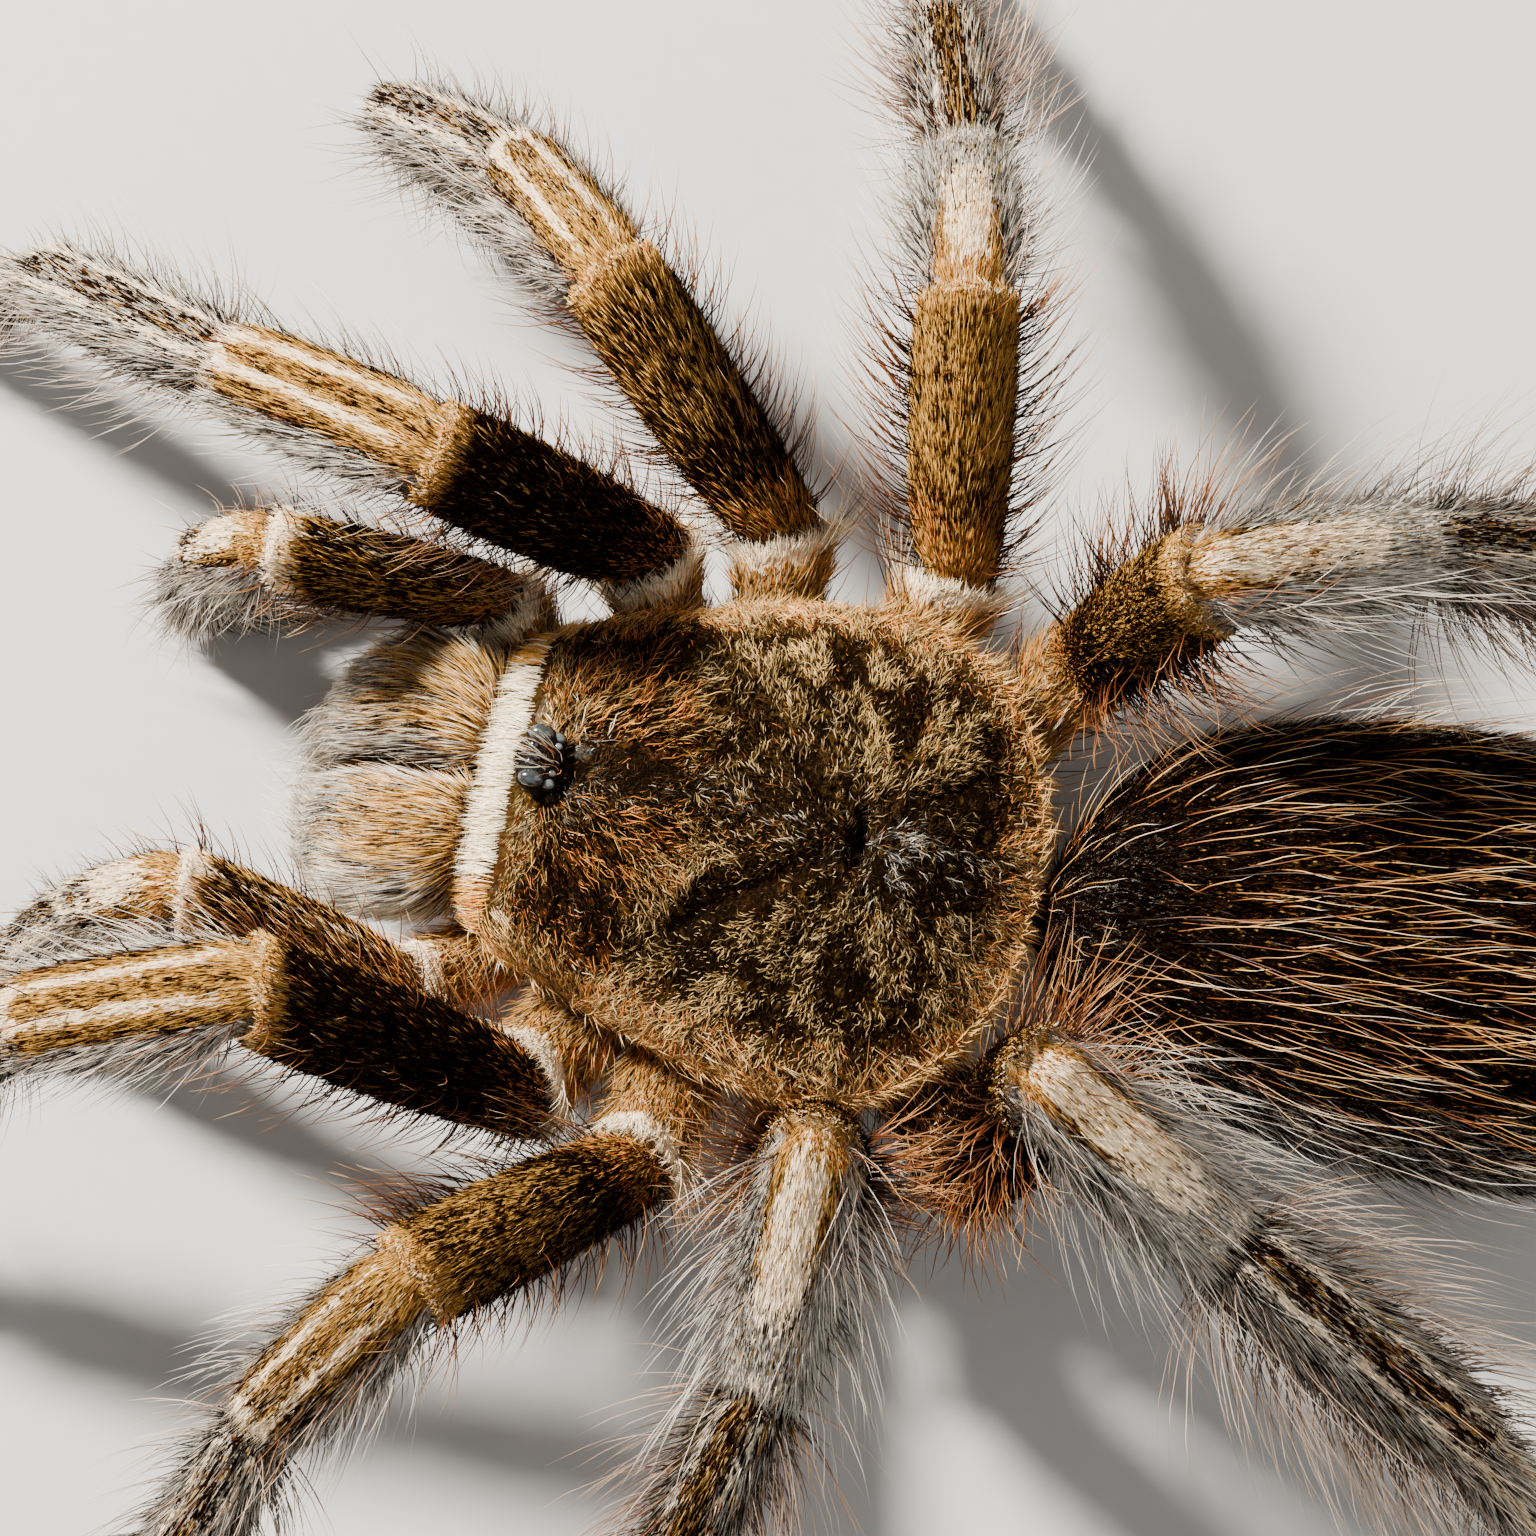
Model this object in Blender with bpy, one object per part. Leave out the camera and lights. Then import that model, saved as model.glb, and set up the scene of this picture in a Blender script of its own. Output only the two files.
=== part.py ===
"""A tarantula with cream double stripes on its legs, at life size, standing with its legs arched.

All sizes below are millimetres in the animal's own axes: the head looks along -Y, the animal's
left is +X, and the floor is Z = 0. Meshes are made in metres. Limb angles are a yaw from straight
ahead towards the animal's left, and an elevation above level, both in degrees.
"""

import math

import bmesh
import bpy
from mathutils import Vector

MM = 0.001
GAP = 0.3  # left between neighbouring pieces
SIDES = 11

# Carapace: the hard shield over the front half of the body
CARAPACE_FRONT = -10.8
CARAPACE_REAR = 10.75
CARAPACE_WIDEST_AT = 2.0
CARAPACE_HALF_WIDTH = 10.3
HEAD_NARROWING = 3.9
CARAPACE_UNDERSIDE = 9.7
RIM_THICKNESS = 0.5
HEAD_HEIGHT = 4.3
FRONT_HEIGHT = 2.3
THORAX_HEIGHT = 3.3
FOVEA_AT = 3.6
FOVEA_DEPTH = 0.7

# Eye tubercle: a low mound with four pairs of eyes: (across, forward, radius)
TUBERCLE_AT = Vector((0.0, -8.8, 14.2))
TUBERCLE_SIZE = Vector((1.5, 1.2, 1.0))
EYES = ((0.36, 0.38, 0.30), (0.95, 0.55, 0.27), (0.98, -0.42, 0.24), (0.55, -0.48, 0.2))

# Chelicerae and fangs
CHELICERA_LENGTH = 7.5
CHELICERA_HALF_WIDTH = 2.8
CHELICERA_HALF_HEIGHT = 3.4
CHELICERA_AXIS_Z = 8.9
CHELICERA_FULLNESS = 0.75
CHELICERA_SHIFT = -0.2  # of both, to the animal's right
# Along the jaw, from 0 to 1: its girth as a share of the fullest, and how far its axis has sunk
CHELICERA_PROFILE = (
    (0.0, 0.74, 0.0), (0.16, 0.92, 0.0), (0.42, 1.0, 0.3), (0.66, 0.97, 1.0), (0.86, 0.76, 2.0),
    (1.0, 0.4, 2.9),
)
# The folded fang curves back under the jaw on an arc: its hinge as (across, share of the jaw's length, height)
FANG_HINGE = (2.7, 0.84, 3.8)
FANG_RADIUS = 0.75
FANG_TIP_SHARE = 0.34
FANG_ARC_RADIUS = 2.9
FANG_ARC_START = 215  # degrees round the arc's centre, from straight back
FANG_ARC_END = 310
FANG_LEAN = 0.9  # of the tip, towards the midline
FANG_STEPS = 7

# Trunk core, with the sternum as its underside
STERNUM_REAR = 8.0
STERNUM_UNDERSIDE = 3.9
# Its outline from the labium back to its hind point: (y, half width)
STERNUM_OUTLINE = (
    (-8.3, 1.1), (-7.7, 1.6), (-6.0, 1.7), (-5.6, 2.6), (-4.0, 3.5), (-1.2, 4.2), (2.0, 4.0), (4.6, 3.1),
    (6.6, 1.9), (STERNUM_REAR, 0.9),
)

# Abdomen: a pear shape on a narrow stalk, its axis leaning a little to the animal's right
ABDOMEN_FRONT = 11.2
ABDOMEN_LENGTH = 26.6
ABDOMEN_HALF_WIDTH = 9.4
ABDOMEN_HALF_HEIGHT = 7.0
ABDOMEN_AXIS_Z = 9.2
ABDOMEN_YAW = -2.0
ABDOMEN_SHIFT = -1.1  # of its middle, to the animal's right
ABDOMEN_WIDEST = 0.64
ABDOMEN_SIDES = 18
PEDICEL_RADIUS = 1.1
PEDICEL_Z = 7.8
SPINNERET_LENGTH = 3.6
SPINNERET_RADIUS = 0.62
SPINNERET_Z = 6.7

# Limbs: length of each segment along its own axis
LIMB_ROOT_Z = 8.2
COXA_INNER_Z = 6.2
LIMBS = {
    "palp": dict(inner=(3.7, -8.1), root=(8.3, -12.4), femur=11.5, patella=7.2, tibia=7.8, tarsus=7.0),
    "leg_1": dict(inner=(5.1, -4.7), root=(11.4, -7.2), femur=15.0, patella=9.6, tibia=11.0,
                  metatarsus=9.6, tarsus=7.2),
    "leg_2": dict(inner=(5.6, -1.2), root=(13.4, -2.2), femur=13.8, patella=8.8, tibia=9.6,
                  metatarsus=9.2, tarsus=7.2),
    "leg_3": dict(inner=(5.5, 2.4), root=(13.0, 4.8), femur=12.3, patella=8.6, tibia=8.4,
                  metatarsus=9.8, tarsus=7.2),
    "leg_4": dict(inner=(4.7, 5.8), root=(10.6, 10.6), femur=15.5, patella=9.0, tibia=12.8,
                  metatarsus=14.2, tarsus=8.0),
}
# Half width and half height of each segment at its fullest, out to the short fur
GIRTHS = {
    "palp": dict(coxa=(1.6, 1.7), femur=(1.7, 1.9), patella=(1.75, 1.8), tibia=(1.6, 1.6),
                 foot=(1.3, 1.2)),
    "leg_1": dict(coxa=(2.0, 1.95), femur=(2.3, 2.5), patella=(2.3, 2.3), tibia=(1.9, 1.9),
                  foot=(1.35, 1.3)),
    "leg_2": dict(coxa=(2.0, 1.95), femur=(2.2, 2.4), patella=(2.15, 2.2), tibia=(1.8, 1.8),
                  foot=(1.3, 1.25)),
    "leg_3": dict(coxa=(2.0, 1.95), femur=(2.2, 2.4), patella=(2.1, 2.2), tibia=(1.8, 1.8),
                  foot=(1.3, 1.25)),
    "leg_4": dict(coxa=(2.0, 1.95), femur=(2.3, 2.5), patella=(2.2, 2.2), tibia=(2.2, 2.2),
                  foot=(1.5, 1.45)),
}
# The stance: (yaw, elevation) of femur, patella and tibia, then the foot's yaw and the tarsus's elevation
# The right palp and the right second leg have their feet tucked back under them.
STANCE = {
    ("palp", "left"): dict(femur=(3, 44), patella=(-2, -52), tibia=(4, -66), foot=(2, 0)),
    ("palp", "right"): dict(femur=(18, 41), patella=(-20, -58), tibia=(-42, -80), foot=(-158, 0)),
    ("leg_1", "left"): dict(femur=(10, 49), patella=(14, -22), tibia=(20, -42), foot=(17, -18)),
    ("leg_1", "right"): dict(femur=(16, 56), patella=(-19, -19), tibia=(-25, -28), foot=(-21, -30)),
    ("leg_2", "left"): dict(femur=(53, 38), patella=(47, -39), tibia=(64, -38), foot=(60, -10)),
    ("leg_2", "right"): dict(femur=(-34, 44), patella=(-47, -30), tibia=(-33, -42), foot=(163, 0)),
    ("leg_3", "left"): dict(femur=(99, 79), patella=(90, -22), tibia=(69, -43), foot=(70, -22)),
    ("leg_3", "right"): dict(femur=(-80, 47), patella=(-78, -27), tibia=(-72, -27), foot=(-74, -16)),
    ("leg_4", "left"): dict(femur=(158, 80), patella=(157, -26), tibia=(159, -28), foot=(158, -18)),
    ("leg_4", "right"): dict(femur=(165, 73), patella=(-152, -18), tibia=(-155, -40), foot=(-154, -14)),
}
TOE_AXIS_Z = 0.4  # height of the axis at the tip of each tarsus, which flattens its pad on the floor

# Along each segment, from 0 to 1: its girth as a share of the fullest
COXA_PROFILE = ((0.0, 0.8), (0.3, 0.98), (0.62, 1.0), (0.7, 0.86), (0.78, 1.0), (1.0, 1.0))
FEMUR_PROFILE = ((0.0, 0.78), (0.14, 0.86), (0.38, 0.97), (0.7, 1.0), (0.88, 0.99), (1.0, 0.92))
PATELLA_PROFILE = ((0.0, 0.84), (0.14, 0.96), (0.45, 1.0), (0.78, 0.95), (0.93, 0.88), (1.0, 0.82))
TIBIA_PROFILE = ((0.0, 0.8), (0.12, 0.94), (0.45, 1.0), (0.8, 0.94), (0.94, 0.86), (1.0, 0.8))
METATARSUS_PROFILE = ((0.0, 0.98), (0.12, 1.0), (0.55, 0.96), (0.93, 0.9))
TARSUS_PROFILE = ((0.07, 0.9), (0.4, 0.95), (0.78, 0.92), (0.92, 0.76), (1.0, 0.48))
MITRE_REACH = 0.45  # how far along a segment its slanted end fades out
KNEE_ROUNDING = 1.2  # furthest that a slanted end reaches, as a share of the girth there


def clear_scene():
    for obj in list(bpy.data.objects):
        bpy.data.objects.remove(obj, do_unlink=True)


def material(name, colour, roughness, metallic=0.0):
    """One plain Principled material, made once and shared by name."""
    made = bpy.data.materials.get(name)
    if made:
        return made
    made = bpy.data.materials.new(name)
    made.use_nodes = True
    made.diffuse_color = (*colour, 1.0)
    shader = made.node_tree.nodes["Principled BSDF"]
    shader.inputs["Base Color"].default_value = (*colour, 1.0)
    shader.inputs["Roughness"].default_value = roughness
    shader.inputs["Metallic"].default_value = metallic
    return made


def heading(yaw, elevation):
    """Unit vector of a limb segment from its yaw and elevation in degrees."""
    turn = math.radians(yaw)
    climb = math.radians(elevation)
    level = math.cos(climb)
    return Vector((level * math.sin(turn), -level * math.cos(turn), math.sin(climb)))


def skin_loops(name, loops, coating, parent):
    """A closed object through a row of loops, each a list of points in millimetres."""
    shape = bmesh.new()
    rows = [[shape.verts.new(point * MM) for point in loop] for loop in loops]
    for near, far in zip(rows, rows[1:]):
        for k in range(len(near)):
            shape.faces.new((near[k], near[k - 1], far[k - 1], far[k]))
    shape.faces.new(rows[0])
    shape.faces.new(rows[-1])
    bmesh.ops.recalc_face_normals(shape, faces=shape.faces)
    mesh = bpy.data.meshes.new(name)
    shape.to_mesh(mesh)
    shape.free()
    mesh.shade_smooth()
    mesh.set_sharp_from_angle(angle=math.radians(50))
    mesh.materials.append(coating)
    obj = bpy.data.objects.new(name, mesh)
    bpy.context.scene.collection.objects.link(obj)
    obj.parent = parent
    return obj


def across_and_up(along, dorsal):
    """The two unit vectors of a cross-section: to the side, and towards the back of the limb."""
    side = along.cross(dorsal).normalized()
    return side, side.cross(along).normalized()


def oval(centre, side, up, half_width, half_height, sides=SIDES, fullness=1.0):
    """A loop of points on an ellipse, or on a boxier oval where fullness is under 1."""
    loop = []
    for k in range(sides):
        turn = 2 * math.pi * k / sides
        x, z = math.sin(turn), math.cos(turn)
        x = math.copysign(abs(x) ** fullness, x)
        z = math.copysign(abs(z) ** fullness, z)
        loop.append(centre + side * (half_width * x) + up * (half_height * z))
    return loop


def tube_loops(points, girths, dorsal):
    """Ovals along a bent path, each square to the path where it stands."""
    loops = []
    for k, centre in enumerate(points):
        before = points[max(k - 1, 0)]
        after = points[min(k + 1, len(points) - 1)]
        side, up = across_and_up((after - before).normalized(), dorsal)
        loops.append(oval(centre, side, up, *girths[k]))
    return loops


def mitred(offset, along, cut, share, inward):
    """Slides one point of a cross-section along its limb, towards a slanted joint plane."""
    slope = along.dot(cut)
    lean = (inward * GAP / 2 - offset.dot(cut)) / slope
    moved = offset + along * (lean * share)
    if share < 1:
        return moved
    return moved * min(1.0, KNEE_ROUNDING * offset.length / moved.length)


def segment_loops(start, end, dorsal, girth, profile, cut_start=None, cut_end=None):
    """Loops of a limb segment. cut_start and cut_end are the normals of its joint planes."""
    along = (end - start).normalized()
    side, up = across_and_up(along, dorsal)
    loops = []
    for t, share in profile:
        centre = start.lerp(end, t)
        ring = oval(Vector(), side, up, girth[0] * share, girth[1] * share)
        if cut_start and t < MITRE_REACH:
            ring = [mitred(p, along, cut_start, 1 - t / MITRE_REACH, 1) for p in ring]
        if cut_end and 1 - t < MITRE_REACH:
            ring = [mitred(p, along, cut_end, 1 - (1 - t) / MITRE_REACH, -1) for p in ring]
        loops.append([centre + p for p in ring])
    return loops


def backs_of(ways):
    """The dorsal direction of femur, patella and tibia, from the way each one points."""
    femur, patella, tibia = ways
    bend = patella - femur * patella.dot(femur)
    rise = Vector((0, 0, 1))
    return [-bend.normalized()] + [(rise - way * rise.dot(way)).normalized() for way in (patella, tibia)]


def foot_points(ankle, yaw, pitch, sizes):
    """The end of the metatarsus and the tip of the tarsus, which just reaches the floor."""
    if "metatarsus" not in sizes:
        drop = (ankle.z - TOE_AXIS_Z) / sizes["tarsus"]
        return [ankle + heading(yaw, -math.degrees(math.asin(drop))) * sizes["tarsus"]]
    toe_run = heading(yaw, pitch) * sizes["tarsus"]
    drop = (ankle.z + toe_run.z - TOE_AXIS_Z) / sizes["metatarsus"]
    bend = ankle + heading(yaw, -math.degrees(math.asin(drop))) * sizes["metatarsus"]
    return [bend, bend + toe_run]


def foot_loops(tibia_way, ankle, points, girth):
    """Metatarsus and tarsus in one piece, with the pad flat where it meets the floor."""
    path = []
    girths = []
    stops = [ankle] + points
    profiles = [METATARSUS_PROFILE, TARSUS_PROFILE] if len(points) == 2 else [((0.0, 0.98),) + TARSUS_PROFILE]
    for start, end, profile in zip(stops, stops[1:], profiles):
        for t, share in profile:
            path.append(start.lerp(end, t))
            girths.append((girth[0] * share, girth[1] * share))
    way = (stops[1] - ankle).normalized()
    cut = (tibia_way + way).normalized()
    reach = (stops[1] - ankle).length * MITRE_REACH
    loops = tube_loops(path, girths, Vector((0, 0, 1)))
    for k, centre in enumerate(path):
        share = 1 - (centre - ankle).length / reach
        if share > 0:
            loops[k] = [centre + mitred(p - centre, way, cut, share, 1) for p in loops[k]]
    return [[Vector((p.x, p.y, max(p.z, 0.0))) for p in loop] for loop in loops]


def build_limb(limb, flank, parent):
    """One leg or palp: coxa with trochanter, femur, patella, tibia and foot."""
    sizes = LIMBS[limb]
    girths = GIRTHS[limb]
    stance = STANCE[limb, flank]
    outward = 1 if flank == "left" else -1
    inner = Vector((sizes["inner"][0] * outward, sizes["inner"][1], COXA_INNER_Z))
    joints = [Vector((sizes["root"][0] * outward, sizes["root"][1], LIMB_ROOT_Z))]
    ways = [heading(*stance[name]) for name in ("femur", "patella", "tibia")]
    for way, name in zip(ways, ("femur", "patella", "tibia")):
        joints.append(joints[-1] + way * sizes[name])
    toes = foot_points(joints[3], *stance["foot"], sizes)
    coxa_way = (joints[0] - inner).normalized()
    foot_way = (toes[0] - joints[3]).normalized()
    chain = [coxa_way] + ways + [foot_way]
    cuts = [(near + far).normalized() for near, far in zip(chain, chain[1:])]
    backs = backs_of(ways)
    family, _, number = limb.partition("_")
    stem = "_".join(word for word in (family, flank, number) if word)

    dark = material("brown_fur", (0.075, 0.042, 0.022), 0.75)
    striped = material("striped_fur", (0.42, 0.3, 0.18), 0.7)
    grey = material("grey_fur", (0.2, 0.17, 0.145), 0.75)
    coxa = segment_loops(inner, joints[0], Vector((0, 0, 1)), girths["coxa"], COXA_PROFILE, None, cuts[0])
    skin_loops(stem + "_coxa", coxa, dark, parent)
    profiles = (FEMUR_PROFILE, PATELLA_PROFILE, TIBIA_PROFILE)
    coats = (dark, striped, grey)
    for k, name in enumerate(("femur", "patella", "tibia")):
        loops = segment_loops(
            joints[k], joints[k + 1], backs[k], girths[name], profiles[k], cuts[k], cuts[k + 1]
        )
        skin_loops(f"{stem}_{name}", loops, coats[k], parent)
    feet = foot_loops(ways[2], joints[3], toes, girths["foot"])
    skin_loops(stem + "_foot", feet, grey, parent)


def carapace_half_width(y):
    """Widest over the second and third legs, narrowing to the head and rounded behind."""
    if y > CARAPACE_WIDEST_AT:
        back = (y - CARAPACE_WIDEST_AT) / (CARAPACE_REAR + 0.15 - CARAPACE_WIDEST_AT)
        return CARAPACE_HALF_WIDTH * math.sqrt(1 - back**2.5)
    ahead = (CARAPACE_WIDEST_AT - y) / (CARAPACE_WIDEST_AT - CARAPACE_FRONT)
    corner = max(0.0, (ahead - 0.9) / 0.1)
    return CARAPACE_HALF_WIDTH - HEAD_NARROWING * ahead**1.35 - 0.7 * corner**2


def carapace_height(y):
    """Height of the midline over the rim: steep at the front, highest over the head, low behind."""
    ahead = (y - CARAPACE_FRONT) / (CARAPACE_REAR - CARAPACE_FRONT)
    head = math.exp(-(((ahead - 0.27) / 0.22) ** 2)) * (HEAD_HEIGHT - THORAX_HEIGHT)
    front = FRONT_HEIGHT + (THORAX_HEIGHT - FRONT_HEIGHT) * min(1.0, ahead / 0.14)
    back = max(0.0, (ahead - 0.5) / 0.5)
    return (front + head) * (1 - 0.93 * back**2.2)


def build_carapace(parent):
    """The shield: a dome over a flat underside, boxier over the head, with the fovea's dent."""
    middle = (CARAPACE_FRONT + CARAPACE_REAR) / 2
    reach = (CARAPACE_REAR - CARAPACE_FRONT) / 2
    stations = 17
    rim_z = CARAPACE_UNDERSIDE + RIM_THICKNESS
    loops = []
    for k in range(stations + 1):
        y = middle - reach * math.cos(math.pi * k / stations)
        half = carapace_half_width(y)
        height = carapace_height(y)
        boxy = 0.62 + 0.3 * min(1.0, max(0.0, (y - CARAPACE_FRONT) / 14))
        arch = []
        for step in range(15):
            lean = math.pi * (step / 14 - 0.5)
            dent = FOVEA_DEPTH * math.exp(-((y - FOVEA_AT) ** 2) - (half * math.sin(lean) / 1.6) ** 2)
            rise = height * max(0.0, math.cos(lean)) ** boxy - dent
            arch.append(Vector((half * math.sin(lean), y, rim_z + rise)))
        under = [Vector((half * 0.92 * share, y, CARAPACE_UNDERSIDE)) for share in (1, 0.5, 0, -0.5, -1)]
        loops.append(arch + under)
    skin_loops("carapace", loops, material("carapace_fur", (0.09, 0.055, 0.028), 0.7), parent)


def build_eye_tubercle(parent):
    """A low mound behind the front edge of the head, with eight eyes standing out of it."""
    black = material("eye_gloss", (0.01, 0.009, 0.008), 0.12)
    loops = []
    for share in (0.0, 0.35, 0.65, 0.86, 0.97):
        shrink = math.sqrt(1 - share**2)
        centre = TUBERCLE_AT + Vector((0, 0, TUBERCLE_SIZE.z * share))
        size = (TUBERCLE_SIZE.x * shrink, TUBERCLE_SIZE.y * shrink)
        loops.append(oval(centre, Vector((1, 0, 0)), Vector((0, 1, 0)), *size))
    mound = skin_loops("eye_tubercle", loops, black, parent)
    balls = bmesh.new()
    for across, forward, radius in EYES:
        for flank in (-1, 1):
            spread = (across / TUBERCLE_SIZE.x) ** 2 + (forward / TUBERCLE_SIZE.y) ** 2
            rise = TUBERCLE_SIZE.z * math.sqrt(1 - spread)
            place = TUBERCLE_AT + Vector((across * flank, -forward, rise - 0.3 * radius))
            ball = bmesh.ops.create_uvsphere(balls, u_segments=8, v_segments=5, radius=radius * MM)
            bmesh.ops.translate(balls, verts=ball["verts"], vec=place * MM)
    mesh = bpy.data.meshes.new("eye_balls")
    balls.to_mesh(mesh)
    balls.free()
    helper = bpy.data.objects.new("eye_balls", mesh)
    bpy.context.scene.collection.objects.link(helper)
    helper.parent = parent
    helper.hide_render = True
    helper.display_type = "WIRE"
    union = mound.modifiers.new("eyes", "BOOLEAN")
    union.operation = "UNION"
    union.solver = "EXACT"
    union.object = helper


def fang_arc(t):
    """A point of the fang's arc about the arc's own centre, from its hinge at 0 to its tip at 1."""
    angle = math.radians(FANG_ARC_START + (FANG_ARC_END - FANG_ARC_START) * t)
    return FANG_ARC_RADIUS * Vector((0, math.cos(angle), math.sin(angle)))


def build_chelicera(flank, parent):
    """The thick upper jaw, flat along the midline, drooping and rounded at its tip, with its fang."""
    outward = 1 if flank == "left" else -1
    loops = []
    for run, girth, droop in CHELICERA_PROFILE:
        half = CHELICERA_HALF_WIDTH * girth
        centre = Vector((CHELICERA_SHIFT + outward * (GAP / 2 + half + 0.25 * (CHELICERA_HALF_WIDTH - half)),
                         CARAPACE_FRONT - GAP - CHELICERA_LENGTH * run,
                         CHELICERA_AXIS_Z - droop))
        size = (half, CHELICERA_HALF_HEIGHT * girth)
        loops.append(oval(centre, Vector((1, 0, 0)), Vector((0, 0, 1)), *size, 14, CHELICERA_FULLNESS))
    skin_loops("chelicera_" + flank, loops, material("silver_fur", (0.33, 0.27, 0.21), 0.6), parent)
    across, run, height = FANG_HINGE
    hinge = Vector((CHELICERA_SHIFT + outward * across, CARAPACE_FRONT - run * CHELICERA_LENGTH, height))
    path = []
    girths = []
    for step in range(FANG_STEPS):
        t = step / (FANG_STEPS - 1)
        path.append(hinge + fang_arc(t) - fang_arc(0) - Vector((FANG_LEAN * outward * t, 0, 0)))
        girth = FANG_RADIUS * (1 - (1 - FANG_TIP_SHARE) * t)
        girths.append((girth, girth))
    fang = tube_loops(path, girths, Vector((1, 0, 0)))
    skin_loops("fang_" + flank, fang, material("fang_gloss", (0.02, 0.012, 0.01), 0.2), parent)


def build_trunk(parent):
    """The core between the coxae, whose underside is the sternum."""
    top = CARAPACE_UNDERSIDE - GAP
    loops = []
    for y, half in STERNUM_OUTLINE:
        low = STERNUM_UNDERSIDE + 1.2 * (1 - half / 4.2)
        flank = [(0.5, low), (0.86, low + 0.4), (1, low + 1.6), (0.95, top)]
        outline = flank + [(-x, z) for x, z in reversed(flank)]
        loops.append([Vector((half * x, y, z)) for x, z in outline])
    skin_loops("sternum", loops, material("sternum_fur", (0.05, 0.032, 0.02), 0.8), parent)


def abdomen_share(u):
    """Girth of the abdomen as a share of the fullest, from 0 at its front to 1 at its rear."""
    if u < ABDOMEN_WIDEST:
        return (1 - (1 - u / ABDOMEN_WIDEST) ** 2) ** 0.37
    return math.sqrt(1 - ((u - ABDOMEN_WIDEST) / (1 - ABDOMEN_WIDEST)) ** 2.4)


def build_abdomen(parent):
    """The pear-shaped rear of the body with its narrow stalk, and the two spinnerets under its end."""
    axis = heading(180 - ABDOMEN_YAW, 0)
    across = Vector((axis.y, -axis.x, 0))
    front = Vector((0, ABDOMEN_FRONT, 0))
    rings = 15
    stalk = (STERNUM_REAR + GAP, ABDOMEN_FRONT - 0.6)
    rise = Vector((0, 0, 1))
    waist = (PEDICEL_RADIUS, PEDICEL_RADIUS, ABDOMEN_SIDES)
    loops = [oval(Vector((0, y, PEDICEL_Z)), across, rise, *waist) for y in stalk]
    for k in range(1, rings + 1):
        u = (1 - math.cos(math.pi * (0.03 + 0.94 * k / rings))) / 2
        share = abdomen_share(u)
        centre = front + axis * (u * ABDOMEN_LENGTH) + Vector((ABDOMEN_SHIFT * min(1.0, u / 0.15), 0, 0))
        centre.z = ABDOMEN_AXIS_Z - 0.5 * (1 - min(1.0, u / 0.3)) - 0.8 * u
        size = (ABDOMEN_HALF_WIDTH * share, ABDOMEN_HALF_HEIGHT * share)
        loops.append(oval(centre, across, rise, *size, ABDOMEN_SIDES))
    fur = material("abdomen_fur", (0.035, 0.022, 0.015), 0.8)
    skin_loops("abdomen", loops, fur, parent)
    for flank, outward in (("left", 1), ("right", -1)):
        start = front + axis * (ABDOMEN_LENGTH - 0.1) + across * (outward * 1.2) + Vector((ABDOMEN_SHIFT + 0.7, 0, 0))
        start.z = SPINNERET_Z
        way = (axis + across * (0.15 * outward) + Vector((0, 0, -0.22))).normalized()
        path = [start + way * (SPINNERET_LENGTH * t) for t in (0, 0.36, 0.42, 0.72, 0.78, 1)]
        girths = [(SPINNERET_RADIUS * share,) * 2 for share in (1, 1, 0.86, 0.84, 0.72, 0.5)]
        skin_loops("spinneret_" + flank, tube_loops(path, girths, rise), fur, parent)


def centre_on_floor(parent):
    """Moves the whole animal so that the origin is under the middle of its bounding box."""
    bpy.context.view_layer.update()
    solids = [obj for obj in bpy.data.objects if obj.type == "MESH" and not obj.hide_render]
    points = [obj.matrix_world @ v.co for obj in solids for v in obj.data.vertices]
    lows = [min(p[k] for p in points) for k in (0, 1)]
    highs = [max(p[k] for p in points) for k in (0, 1)]
    parent.location = (-(lows[0] + highs[0]) / 2, -(lows[1] + highs[1]) / 2, 0)


def main():
    clear_scene()
    body = bpy.data.objects.new("tarantula", None)
    bpy.context.scene.collection.objects.link(body)
    build_carapace(body)
    build_eye_tubercle(body)
    for flank in ("left", "right"):
        build_chelicera(flank, body)
        for limb in LIMBS:
            build_limb(limb, flank, body)
    build_trunk(body)
    build_abdomen(body)
    centre_on_floor(body)


main()
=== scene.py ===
"""A life-size tarantula with cream double stripes on its legs, standing still on a pale floor."""

import math

import bmesh
import bpy
import numpy as np
from mathutils import Matrix, Vector
from mathutils.bvhtree import BVHTree
from mathutils.kdtree import KDTree


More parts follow.
